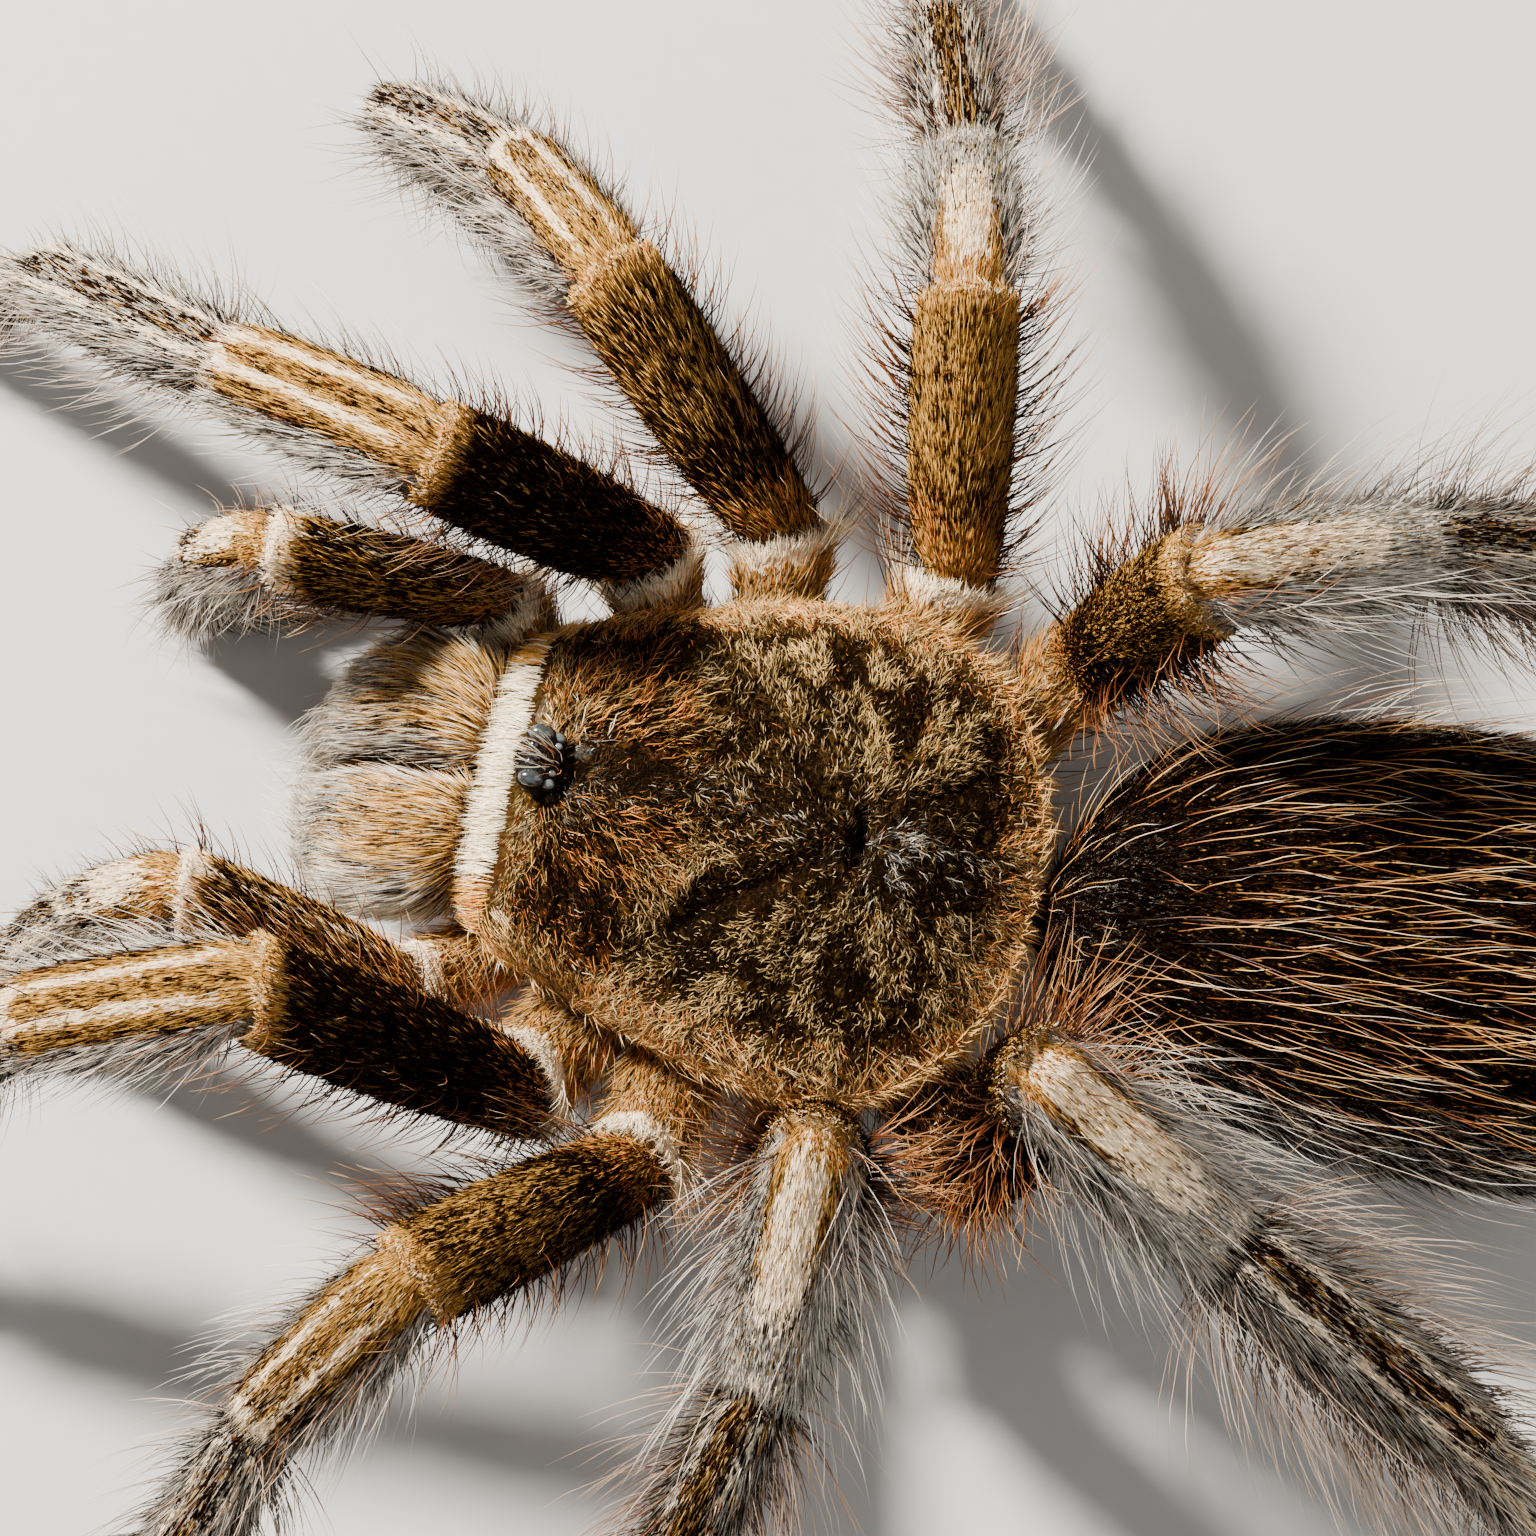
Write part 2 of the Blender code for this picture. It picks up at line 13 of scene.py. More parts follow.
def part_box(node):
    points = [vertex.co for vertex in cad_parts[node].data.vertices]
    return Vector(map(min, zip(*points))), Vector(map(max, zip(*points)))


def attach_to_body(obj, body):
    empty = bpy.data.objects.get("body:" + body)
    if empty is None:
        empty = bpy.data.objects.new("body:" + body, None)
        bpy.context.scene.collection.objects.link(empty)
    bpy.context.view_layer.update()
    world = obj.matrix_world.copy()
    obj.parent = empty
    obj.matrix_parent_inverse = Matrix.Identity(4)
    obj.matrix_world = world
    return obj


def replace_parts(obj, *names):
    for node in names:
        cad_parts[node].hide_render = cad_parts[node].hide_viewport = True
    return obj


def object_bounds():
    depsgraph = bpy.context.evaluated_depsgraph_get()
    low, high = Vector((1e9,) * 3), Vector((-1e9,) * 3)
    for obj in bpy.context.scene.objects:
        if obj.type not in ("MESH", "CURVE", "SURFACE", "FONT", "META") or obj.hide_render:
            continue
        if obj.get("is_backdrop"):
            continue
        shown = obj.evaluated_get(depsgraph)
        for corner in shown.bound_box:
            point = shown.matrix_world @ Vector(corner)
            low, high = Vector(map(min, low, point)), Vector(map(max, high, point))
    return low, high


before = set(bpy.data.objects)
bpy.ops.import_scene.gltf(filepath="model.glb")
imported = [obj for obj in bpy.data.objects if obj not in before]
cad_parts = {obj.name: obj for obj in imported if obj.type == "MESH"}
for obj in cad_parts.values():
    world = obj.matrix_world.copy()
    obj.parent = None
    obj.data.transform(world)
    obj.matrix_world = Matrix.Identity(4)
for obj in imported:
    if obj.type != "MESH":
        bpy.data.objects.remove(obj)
cad_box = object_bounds()


# ---- Camera -------------------------------------------------------------------------------------
# The spider is seen from almost straight above, a little from its left, with its head to the
# left of the view, which takes in the shield, the jaws and the inner parts of the limbs.

MM = 0.001
VIEW_WIDTH = 59.5 * MM  # at the aim's depth
CAMERA_DISTANCE = 300 * MM
CAMERA_TURN = math.radians(12.5)  # of the view's right from straight back, clockwise
CAMERA_LEAN = math.radians(20)  # from overhead, towards the animal's left
AIM_ABOVE_SHIELD = 2.0 * MM  # over the shield's underside, at its middle
AIM_SHIFT = (0.116 * MM, 2.324 * MM)  # from there to the view's centre, right and up

shield_low, shield_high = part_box("carapace")
anchor = Vector(((shield_low.x + shield_high.x) / 2, (shield_low.y + shield_high.y) / 2,
                 shield_low.z + AIM_ABOVE_SHIELD))
view_right = Vector((-math.sin(CAMERA_TURN), math.cos(CAMERA_TURN), 0))
level_up = Vector((-math.cos(CAMERA_TURN), -math.sin(CAMERA_TURN), 0))
straight_up = Vector((0, 0, 1))
back_to_camera = math.cos(CAMERA_LEAN) * straight_up - math.sin(CAMERA_LEAN) * level_up
view_up = math.cos(CAMERA_LEAN) * level_up + math.sin(CAMERA_LEAN) * straight_up
aim = anchor + AIM_SHIFT[0] * view_right + AIM_SHIFT[1] * view_up


def placed(name, data):
    """A new object at the origin of the scene, which shows the data."""
    made = bpy.data.objects.new(name, data)
    bpy.context.scene.collection.objects.link(made)
    return made


lens = bpy.data.cameras.new("camera")
lens.lens = lens.sensor_width * CAMERA_DISTANCE / VIEW_WIDTH
lens.clip_start = 20 * MM
camera = placed("camera", lens)
camera.matrix_world = (Matrix.Translation(aim + CAMERA_DISTANCE * back_to_camera)
                       @ Matrix((view_right, view_up, back_to_camera)).transposed().to_4x4())
bpy.context.scene.camera = camera


# ---- Skin ---------------------------------------------------------------------------------------
# One thin hide over the jaws, the limbs, the underside and the abdomen, drawn in between their
# joints. It lies inside the outer shape by the depth of the coat and carries the coat's markings.

HIDE_VOXEL = 0.345 * MM
FEWEST_IN_SLICE = 6  # corners, for a slice of a limb to have a middle
FACING_DEPTH = 0.5 * MM  # of the parts of two neighbours that face each other over a joint
BODY_END, TOE_END, JAW_END = 1.2 * MM, 0.8 * MM, 0.5 * MM  # depth of the stretch that gives an end its middle
SPINNERET_TIP = 8  # outermost corners that give its end
BALL_INSET = 0.2 * MM  # of the balls that fill the joints, under the outer shape
LIMBS = ["palp_left", "palp_right"] + [f"leg_{flank}_{n}" for flank in ("left", "right") for n in (1, 2, 3, 4)]
LIMB_PIECES = ("coxa", "femur", "patella", "tibia", "foot")
COAT_DEPTH = {"coxa": 0.14, "femur": 0.1, "patella": 0.1, "tibia": 0.12, "foot": 0.14, "abdomen": 0.3,
              "chelicera": 0.15, "sternum": 0.2, "spinneret": 0.12}  # mm


def fetched(items, field, kind=np.float32, width=3):
    """One field of every item, as rows."""
    found = np.empty(len(items) * width, kind)
    items.foreach_get(field, found)
    return found.reshape(-1, width)


def corners_of(node):
    """The places where a piece's faces meet, each once, in metres."""
    found = fetched(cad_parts[node].data.vertices, "co")
    return np.unique(np.round(found.astype(float), 7), axis=0)


def meeting_of(first, second, reach=1.0 * MM):
    """(centre, radius) of the joint where two neighbours face each other across a gap."""
    a, b = corners_of(first), corners_of(second)
    apart = np.linalg.norm(a[:, None] - b[None], axis=2)
    reach = max(reach, apart.min() + FACING_DEPTH)
    facing = np.vstack([a[apart.min(1) < reach], b[apart.min(0) < reach]])
    centre = facing.mean(0)
    return centre, np.linalg.norm(facing - centre, axis=1).mean()


def slice_middles(points, start, end, slices):
    """Middles of the slices of a bent tube, from start to end."""
    way = end - start
    share = (points - start) @ way / (way @ way)
    cuts = np.linspace(0.0, 1.0, slices + 1)
    parts = [points[(share >= low) & (share < high)] for low, high in zip(cuts[:-1], cuts[1:])]
    return [part.mean(0) for part in parts if len(part) > FEWEST_IN_SLICE]


kind_of = {}
middle_lines = {}
joint_balls = []
for limb in LIMBS:
    names = [f"{limb}_{piece}" for piece in LIMB_PIECES]
    kind_of.update(zip(names, LIMB_PIECES))
    root, _ = meeting_of(names[0], "sternum")
    meetings = [meeting_of(a, b) for a, b in zip(names[:-1], names[1:])]
    toe_end = corners_of(names[-1])
    reach_out = np.linalg.norm(toe_end - meetings[-1][0], axis=1)
    toe = toe_end[reach_out > reach_out.max() - TOE_END].mean(0)
    stops = [root] + [centre for centre, _ in meetings] + [toe]
    for k, name in enumerate(names):
        between = slice_middles(toe_end, stops[k], stops[k + 1], 6)[1:-1] if k == 4 else []
        middle_lines[name] = np.array([stops[k], *between, stops[k + 1]])
    joint_balls.append((root, 0.9 * MM))
    joint_balls += meetings
for flank in ("left", "right"):
    jaw = corners_of(f"chelicera_{flank}")
    rear, front = jaw[:, 1].max(), jaw[:, 1].min()
    hinge = jaw[jaw[:, 1] > rear - JAW_END].mean(0)
    tip = jaw[jaw[:, 1] < front + JAW_END].mean(0)
    middle_lines[f"chelicera_{flank}"] = np.array([hinge, *slice_middles(jaw, hinge, tip, 5)[1:-1], tip])
    kind_of[f"chelicera_{flank}"] = "chelicera"
    joint_balls.append((hinge + [0, 0.5 * MM, -0.6 * MM], 1.6 * MM))
    spinneret = corners_of(f"spinneret_{flank}")
    attached, _ = meeting_of(f"spinneret_{flank}", "abdomen")
    outer_end = spinneret[np.argsort(np.linalg.norm(spinneret - attached, axis=1))[-SPINNERET_TIP:]].mean(0)
    middle_lines[f"spinneret_{flank}"] = np.array([attached, outer_end])
    kind_of[f"spinneret_{flank}"] = "spinneret"
    joint_balls.append((attached, 0.45 * MM))
for name in ("abdomen", "sternum"):
    body = corners_of(name)
    front = body[body[:, 1] < body[:, 1].min() + BODY_END].mean(0)
    rear = body[body[:, 1] > body[:, 1].max() - BODY_END].mean(0)
    middle_lines[name] = np.array([front, rear])
    kind_of[name] = name
waist, _ = meeting_of("abdomen", "sternum", 1.5 * MM)
joint_balls.append((waist, 0.9 * MM))

core = bmesh.new()
for name, kind in kind_of.items():
    piece = bmesh.new()
    piece.from_mesh(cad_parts[name].data)
    bmesh.ops.remove_doubles(piece, verts=piece.verts, dist=1e-6)
    piece.normal_update()
    for corner in piece.verts:
        corner.co -= corner.normal * COAT_DEPTH[kind] * MM
    shrunk = bpy.data.meshes.new("shrunk")
    piece.to_mesh(shrunk)
    piece.free()
    core.from_mesh(shrunk)
    bpy.data.meshes.remove(shrunk)
for centre, radius in joint_balls:
    bmesh.ops.create_icosphere(core, subdivisions=2, radius=max(radius - BALL_INSET, 0.4 * MM),
                               matrix=Matrix.Translation(Vector(centre)))


def frozen(body, name):
    """A plain mesh object from what a modified one evaluates to, and the modified one removed."""
    graph = bpy.context.evaluated_depsgraph_get()
    mesh = bpy.data.meshes.new_from_object(body.evaluated_get(graph))
    mesh.name = name
    made = placed(name, mesh)
    bpy.data.objects.remove(body)
    made.name = name
    return made


def fused(shapes, name, voxel, smoothing):
    """One smooth closed skin over a bmesh's shapes, by a voxel remesh."""
    mesh = bpy.data.meshes.new(name)
    shapes.to_mesh(mesh)
    shapes.free()
    body = placed(name, mesh)
    fuse = body.modifiers.new("fuse", "REMESH")
    fuse.mode, fuse.voxel_size = "VOXEL", voxel
    relax = body.modifiers.new("relax", "SMOOTH")
    relax.factor, relax.iterations = smoothing, 3
    made = frozen(body, name)
    made.data.shade_smooth()
    return made


def vertices_and_normals(mesh):
    return fetched(mesh.vertices, "co").astype(float), fetched(mesh.vertex_normals, "vector").astype(float)


def triangles_of(mesh):
    mesh.calc_loop_triangles()
    return fetched(mesh.loop_triangles, "vertices", np.int32)


skin = fused(core, "skin", HIDE_VOXEL, 0.6)
skin_mesh = skin.data
skin_points, skin_normals = vertices_and_normals(skin_mesh)
piece_names = list(kind_of)
outer_corners, outer_faces, outer_owner = [], [], []
for k, name in enumerate(piece_names):
    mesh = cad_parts[name].data
    faces = triangles_of(mesh) + sum(map(len, outer_corners))
    outer_corners.append(fetched(mesh.vertices, "co").astype(float))
    outer_faces.append(faces)
    outer_owner += [k] * len(faces)
outer = BVHTree.FromPolygons(np.vstack(outer_corners).tolist(), np.vstack(outer_faces).tolist())
skin_owner = np.array([outer_owner[outer.find_nearest(Vector(p))[2]] for p in skin_points])


def eased(x, low, high):
    """0 below low and 1 above high, or the other way round where low is the larger."""
    t = np.clip((x - low) / (high - low), 0, 1)
    return t * t * (3 - 2 * t)


def unit(vectors):
    return vectors / np.maximum(np.linalg.norm(vectors, axis=-1, keepdims=True), 1e-12)


def nearest_on_line(points, line):
    """How far along a bent line each point's nearest place is, that place, the way there, and the line's length."""
    closest = np.full(len(points), np.inf)
    along = np.zeros(len(points))
    place = np.zeros_like(points)
    way = np.zeros_like(points)
    run = 0.0
    for a, b in zip(line[:-1], line[1:]):
        length = np.linalg.norm(b - a)
        direction = (b - a) / length
        step = np.clip((points - a) @ direction, 0, length)
        near = a + step[:, None] * direction
        gap = np.linalg.norm(points - near, axis=1)
        nearer = gap < closest - 1e-9
        closest = np.where(nearer, gap, closest)
        along[nearer] = run + step[nearer]
        place[nearer] = near[nearer]
        way[nearer] = direction
        run += length
    return along, place, way, run


# A point's marks are four shares: cream, gold, silver and copper, over an umber ground. Each coat
# takes the distance from the near end and to the far one, the turn from the back and the distance
# across, in mm and degrees, and the sort of limb, and gives marks, density, length and rise.
# the first legs' low gold share is partly their own darker colour and partly painted shade
FEMUR_GOLD = {"palp": 0.9, "1": 0.42, "2": 1.0, "3": 1.35, "4": 0.95}
HIP_CREAM = {"palp": 0.9, "1": 1.0, "2": 1.05, "3": 1.0, "4": 0.1}
KNEE_CREAM = {"palp": 1.3, "1": 0.42, "2": 0.6, "3": 1.0, "4": 1.4}
KNEE_GOLD = {"palp": 0.9, "1": 1.0, "2": 0.95, "3": 1.1, "4": 0.9}
TIBIA_PALENESS = {"palp": 1.0, "1": 0.95, "2": 0.9, "3": 0.65, "4": 0.78}
STRIPES_JOINED = {"palp": 0.55, "1": 0.0, "2": 0.2, "3": 0.8, "4": 0.95}  # 1 where a knee's two are one


def coxa_coat(s, far, turn, lateral, sort):
    top = eased(turn, 140, 105)
    pale_ring = eased(np.abs(far - 0.45), 0.65, 0.25) * HIP_CREAM[sort]
    marks = (0.16 + pale_ring * top, 0.5 + 0.15 * top, 0.1 + 0.3 * pale_ring, 0.5 - 0.2 * pale_ring)
    return marks, 1.3, 0.62 + 0.5 * eased(far, 0.8, 1.6) * eased(np.abs(turn - 88), 60, 30), 20


def femur_coat(s, far, turn, lateral, sort):
    rim = eased(far, 1.5, 1.0)
    lip = eased(far, 0.7, 0.45)
    top = eased(turn, 120, 40)
    towards_knee = 0.4 + 0.6 * eased(far, 11, 5)
    base = eased(s, 4.5, 1.5) * top
    gold = (0.26 + 0.24 * top) * FEMUR_GOLD[sort] * np.maximum(towards_knee, base) + 0.7 * rim
    cream = 0.16 * rim + 0.3 * lip
    if sort == "palp":
        cream = cream + 0.5 * eased(np.abs(lateral - 0.5), 0.4, 0.1) * eased(s, 1.5, 4.0) + 0.5 * rim
    marks = (cream, gold, 0.06 * eased(turn, 90, 140),
             0.05 + 0.3 * FEMUR_GOLD[sort] * base + 0.15 * eased(s, 2.5, 0.5) + 0.12 * rim)
    return marks, 1.0 + 0.4 * lip, 1.05 - 0.4 * rim - 0.25 * lip, 20 + 10 * lip


def patella_coat(s, far, turn, lateral, sort):
    side, joined = np.abs(lateral), STRIPES_JOINED[sort]
    middle_of_stripe = 0.86 - 0.14 * eased(s, 1, 6)
    off = np.abs(np.where(far < 1.3, np.hypot(far - 1.3, side), side) - middle_of_stripe)
    on_top = eased(turn, 88, 66)
    tongue = eased(side, 1.4, 0.4) * (0.12 + 0.88 * eased(far, 1.7, 4.2))
    stripe = np.maximum(eased(off, 0.46, 0.04) * (1 - joined), tongue * joined) * on_top
    cap = eased(far, 1.3, 0.8)
    whitening = eased(s, 0.2, 3.4)
    cream = stripe * (0.5 + KNEE_CREAM[sort] * whitening) + (0.5 - 0.25 * joined) * cap * on_top
    cream = np.minimum(cream, 1.1 - 0.34 * joined)
    band = eased(side + 0.45 * joined, 1.9, 1.5) * on_top
    gold = band * (0.58 * KNEE_GOLD[sort] * (1 - 0.55 * joined * eased(far, 5.0, 2.5)) + 0.4 * stripe) \
        + (0.3 + 0.4 * joined) * eased(s, 1.6, 0.4) * on_top
    silver = 0.62 * (1 - band) + 0.3 * cap + 0.55 * joined * eased(s, 2.0, 5.0) * on_top
    copper = (0.06 + 0.4 * joined * eased(s, 1.7, 0.8)) * on_top
    return (cream, gold, silver, copper), 1.1, 1.05 - 0.35 * eased(s, 1.4, 0.6) + 0.35 * (1 - band), \
        13 + 14 * (1 - band)


def tibia_coat(s, far, turn, lateral, sort):
    side = np.abs(lateral)
    on_top = eased(turn, 85, 65)
    stripe = eased(np.abs(side - 0.8), 0.36, 0.05) * on_top
    cap = eased(far, 0.9, 0.3)
    middle = eased(side, 0.75, 0.5) * on_top
    away_from_knee = eased(s, 0.15, 1.0)
    pale = TIBIA_PALENESS[sort]
    marks = (np.maximum(0.85 * stripe * pale, 0.6 * cap) * away_from_knee, 0.42 - 0.28 * pale + 0.2 * middle,
             (0.5 * pale - 0.24 * middle) * (0.4 + 0.6 * away_from_knee), 0.03 + 0.05 * (1 - pale))
    return marks, 1.05, 1.4 - 0.4 * (middle + stripe), 28 - 12 * (middle + stripe)


def foot_coat(s, far, turn, lateral, sort):
    side = np.abs(lateral)
    on_top = eased(turn, 85, 65)
    stripe = eased(np.abs(side - 0.6), 0.3, 0.08) * on_top * eased(far, 5.5, 7.5)
    sole = eased(turn, 115, 140)
    marks = (0.85 * stripe + 0.06 * (1 - sole), 0.16 * (1 - sole), 0.46 - 0.3 * sole, 0.04)
    return marks, 1.0 + 0.5 * sole, 1.4 - 0.7 * sole, 30 + 25 * sole


def chelicera_coat(s, far, turn, lateral, sort):
    saddle = eased(s, 6.6, 2.6) * eased(np.abs(lateral), 2.8, 1.4)
    marks = (0.42 - 0.3 * saddle + 0.25 * eased(far, 2.5, 0.5), 0.22 + 0.5 * saddle, 0.66 - 0.5 * saddle,
             0.06)
    return marks, 1.3, 1.15, 14


def abdomen_coat(s, far, turn, lateral, sort):
    flank = eased(turn, 48, 85) * (0.3 + 0.7 * eased(turn, 150, 105))
    bare = np.exp(-((s - 5.5) / 3.2) ** 2 - (lateral / 3.4) ** 2)
    front = eased(s, 3.0, 0.8)
    silver = 0.3 * flank * eased(s, 3, 9) + 0.1 * eased(far, 6, 0) + 0.07 * bare
    return (0.0, 0.2 * (1 - bare) + 0.1 * front, silver, 0.04 * (1 - bare) + 0.2 * front), 0.75, 1.3, 24


def sternum_coat(s, far, turn, lateral, sort):
    return (0.04, 0.25, 0.15, 0.2), 0.8, 1.1, 16


def spinneret_coat(s, far, turn, lateral, sort):
    return (0.12, 0.25, 0.45, 0.1), 1.2, 0.8, 15


COATS = {"coxa": coxa_coat, "femur": femur_coat, "patella": patella_coat, "tibia": tibia_coat, "foot": foot_coat,
         "chelicera": chelicera_coat, "abdomen": abdomen_coat, "sternum": sternum_coat,
         "spinneret": spinneret_coat}


def gap_to(points, name):
    """How far each point is from the skin of another piece, in mm."""
    others = skin_points[skin_owner == piece_names.index(name)]
    tree = KDTree(len(others))
    for n, place in enumerate(others):
        tree.insert(place, n)
    tree.balance()
    return np.array([tree.find(place)[2] for place in points]) / MM


count = len(skin_points)
skin_data = {"marks": np.zeros((count, 4)), "grain": np.zeros((count, 3)), "lie": np.zeros((count, 3)),
             "dense": np.zeros(count), "reach": np.zeros(count), "stand": np.zeros(count)}
skin_along, skin_far, skin_angle, skin_lateral = (np.zeros(count) for _ in range(4))
for k, name in enumerate(piece_names):
    chosen = np.flatnonzero(skin_owner == k)
    if not len(chosen):
        continue
    points = skin_points[chosen]
    along, place, way, length = nearest_on_line(points, middle_lines[name])
    dorsal = np.tile([0.0, 0.0, 1.0], (len(points), 1))
    if kind_of[name] == "femur":
        knee_way = np.diff(middle_lines[name.replace("femur", "patella")], axis=0)[0]
        dorsal = np.tile(-unit(knee_way), (len(points), 1))
    dorsal = unit(dorsal - way * (dorsal * way).sum(1, keepdims=True))
    across = np.cross(way, dorsal)
    offset = points - place
    lateral = (offset * across).sum(1) / MM
    height = (offset * dorsal).sum(1) / MM
    angle = np.degrees(np.arctan2(lateral, height))
    s, far = along / MM, (length - along) / MM
    limb, _, joint = name.rpartition("_")
    if joint in LIMB_PIECES:
        # a knee is cut on a slant, so the marks at both its ends are measured from the seam itself
        rank = LIMB_PIECES.index(joint)
        s = gap_to(points, f"{limb}_{LIMB_PIECES[rank - 1]}") if rank > 0 else s
        far = gap_to(points, f"{limb}_{LIMB_PIECES[rank + 1]}") if rank < 4 else far
    sort = "palp" if name.startswith("palp") else name.split("_")[2] if name.startswith("leg") else ""
    marks, dense, reach, stand = COATS[kind_of[name]](s, far, np.abs(angle), lateral, sort)
    grain = (lateral, height, along / MM + 31 * k)
    for key, values in {"marks": np.stack(np.broadcast_arrays(*marks, s)[:4], axis=1), "lie": way, "dense": dense,
                        "grain": np.stack(grain, axis=1), "reach": reach, "stand": np.radians(stand)}.items():
        skin_data[key][chosen] = values
    skin_along[chosen], skin_far[chosen] = s, far
    skin_angle[chosen], skin_lateral[chosen] = angle, lateral

# the thighs and hips behind the left flank are painted darker than their partners: painted shade on the animal's
# left, away from the key lamp
for name, share in (("leg_left_3_femur", 0.35), ("leg_left_4_femur", 0.4), ("leg_left_4_coxa", 0.5)):
    skin_data["marks"][skin_owner == piece_names.index(name), 1:] *= share
# the hair is painted darker down in the cleft between the jaws: painted shade between the two jaws
for name, other in (("chelicera_left", "chelicera_right"), ("chelicera_right", "chelicera_left")):
    chosen = np.flatnonzero(skin_owner == piece_names.index(name))
    skin_data["marks"][chosen] *= eased(gap_to(skin_points[chosen], other), 0.25, 1.15)[:, None]
skin_kind = np.array([kind_of[name] for name in piece_names])[skin_owner]


def by_kind(table):
    return np.array([table.get(kind, 0.0) for kind in skin_kind])


# a joint's near piece ends in a flared lip, and the far one starts narrower inside it
TUCK = {"femur": 0.34, "patella": 0.34, "tibia": 0.34, "foot": 0.2}  # mm
LIP = {"coxa": 0.22, "femur": 0.1, "patella": 0.08, "tibia": 0.06}
sunk = by_kind(TUCK) * np.exp(-((skin_along / 0.75) ** 2)) - by_kind(LIP) * np.exp(-(((skin_far - 0.3) / 0.35) ** 2))


def pressed_in(mesh, points, normals, depth):
    """The mesh's corners and normals after it is pressed in by the depth, in mm."""
    points -= normals * depth[:, None] * MM
    mesh.vertices.foreach_set("co", points.astype(np.float32).ravel())
    mesh.update()
    return vertices_and_normals(mesh)


skin_points, skin_normals = pressed_in(skin_mesh, skin_points, skin_normals, sunk)


def evened(values, edges, rounds):
    """Values averaged over neighbouring corners, so that they turn smoothly over a joint."""
    for _ in range(rounds):
        total, parts = values.copy(), np.ones(len(values))
        for a, b in ((0, 1), (1, 0)):
            np.add.at(total, edges[:, a], values[edges[:, b]])
            np.add.at(parts, edges[:, a], 1)
        values = total / parts.reshape(-1, *[1] * (values.ndim - 1))
    return values


skin_data["lie"] = unit(evened(skin_data["lie"], fetched(skin_mesh.edges, "vertices", np.int32, 2), 5))
ATTRIBUTE_TYPES = {"marks": ("FLOAT_COLOR", "color"), "grain": ("FLOAT_VECTOR", "vector"),
                   "lie": ("FLOAT_VECTOR", "vector")}


def attach(mesh, data):
    """Writes one value per corner under each name."""
    for name, values in data.items():
        kind, field = ATTRIBUTE_TYPES.get(name, ("FLOAT", "value"))
        layer = mesh.attributes.new(name, kind, "POINT")
        layer.data.foreach_set(field, np.ascontiguousarray(values, np.float32).ravel())


attach(skin_mesh, {"marks": skin_data["marks"], "grain": skin_data["grain"]})


def socket_of(sockets, key):
    """A node's socket, by its place in the row or by its name among those in use."""
    return sockets[key] if isinstance(key, int) else next(s for s in sockets if s.name == key and s.enabled)


class Bench:
    """A node tree to build in. Its one method adds a node and gives back one of its outputs."""

    def __init__(self, tree):
        self.tree = tree

    def add(self, kind, settings=None, inputs=None, output=0):
        node = self.tree.nodes.new(kind)
        for name, value in (settings or {}).items():
            if name == "stops":
                for spot, (position, colour) in enumerate(value):
                    ramp = node.color_ramp.elements
                    stop = ramp[spot] if spot < 2 else ramp.new(position)
                    stop.position, stop.color = position, colour
            else:
                setattr(node, name, value)
        pairs = inputs.items() if isinstance(inputs, dict) else enumerate(inputs or ())
        for key, value in pairs:
            if isinstance(value, Wire):
                self.tree.links.new(value.output, socket_of(node.inputs, key))
            elif value is not None:
                socket_of(node.inputs, key).default_value = value
        found = socket_of(node.outputs, output)
        return Wire(self, found if found.enabled else next(s for s in node.outputs if s.enabled))


class Wire:
    """An output socket. Sums and products of wires and numbers add Math nodes to the bench."""

    def __init__(self, bench, output):
        self.bench = bench
        self.output = output

    def math(self, operation, *others):
        return self.bench.add("ShaderNodeMath", {"operation": operation}, (self, *others))

    def vector(self, operation, *others, output=0):
        inputs = {0: self, "Scale": others[0]} if operation == "SCALE" else (self, *others)
        return self.bench.add("ShaderNodeVectorMath", {"operation": operation}, inputs, output)

    def __add__(self, other):
        return self.math("ADD", other)

    def __sub__(self, other):
        return self.math("SUBTRACT", other)

    def __rsub__(self, other):
        return self.bench.add("ShaderNodeMath", {"operation": "SUBTRACT"}, (other, self))

    def __mul__(self, other):
        return self.math("MULTIPLY", other)

    __radd__, __rmul__ = __add__, __mul__

    def clamped(self):
        return self.bench.add("ShaderNodeClamp", inputs={"Value": self})

    def other_output(self, name):
        return Wire(self.bench, socket_of(self.output.node.outputs, name))


class Finish(Bench):
    """The bench of a new material, with its Principled shader, whose constants are set here."""

    def __init__(self, name, roughness, specular):
        self.material = bpy.data.materials.new(name)
        self.material.use_nodes = True
        super().__init__(self.material.node_tree)
        self.shader = next(n for n in self.tree.nodes if n.type == "BSDF_PRINCIPLED")
        self.shader.inputs["Roughness"].default_value = roughness
        self.shader.inputs["Specular IOR Level"].default_value = specular

    def carried(self, name, output="Fac"):
        """What the mesh carries under a name."""
        return self.add("ShaderNodeAttribute", {"attribute_name": name}, output=output)

    def place(self):
        return self.add("ShaderNodeTexCoord", output="Object")

    def noise(self, place, scale, detail, **others):
        return self.add("ShaderNodeTexNoise", inputs={"Vector": place, "Scale": scale, "Detail": detail, **others})

    def painted(self, colour, height=None, strength=0.0, distance=0.1 * MM):
        """The material, with its colour, and its bump where there is a height, wired to the shader."""
        self.tree.links.new(colour.output, self.shader.inputs["Base Color"])
        if height is not None:
            bump = self.add("ShaderNodeBump", inputs={"Strength": strength, "Distance": distance, "Height": height})
            self.tree.links.new(bump.output, self.shader.inputs["Normal"])
        return self.material


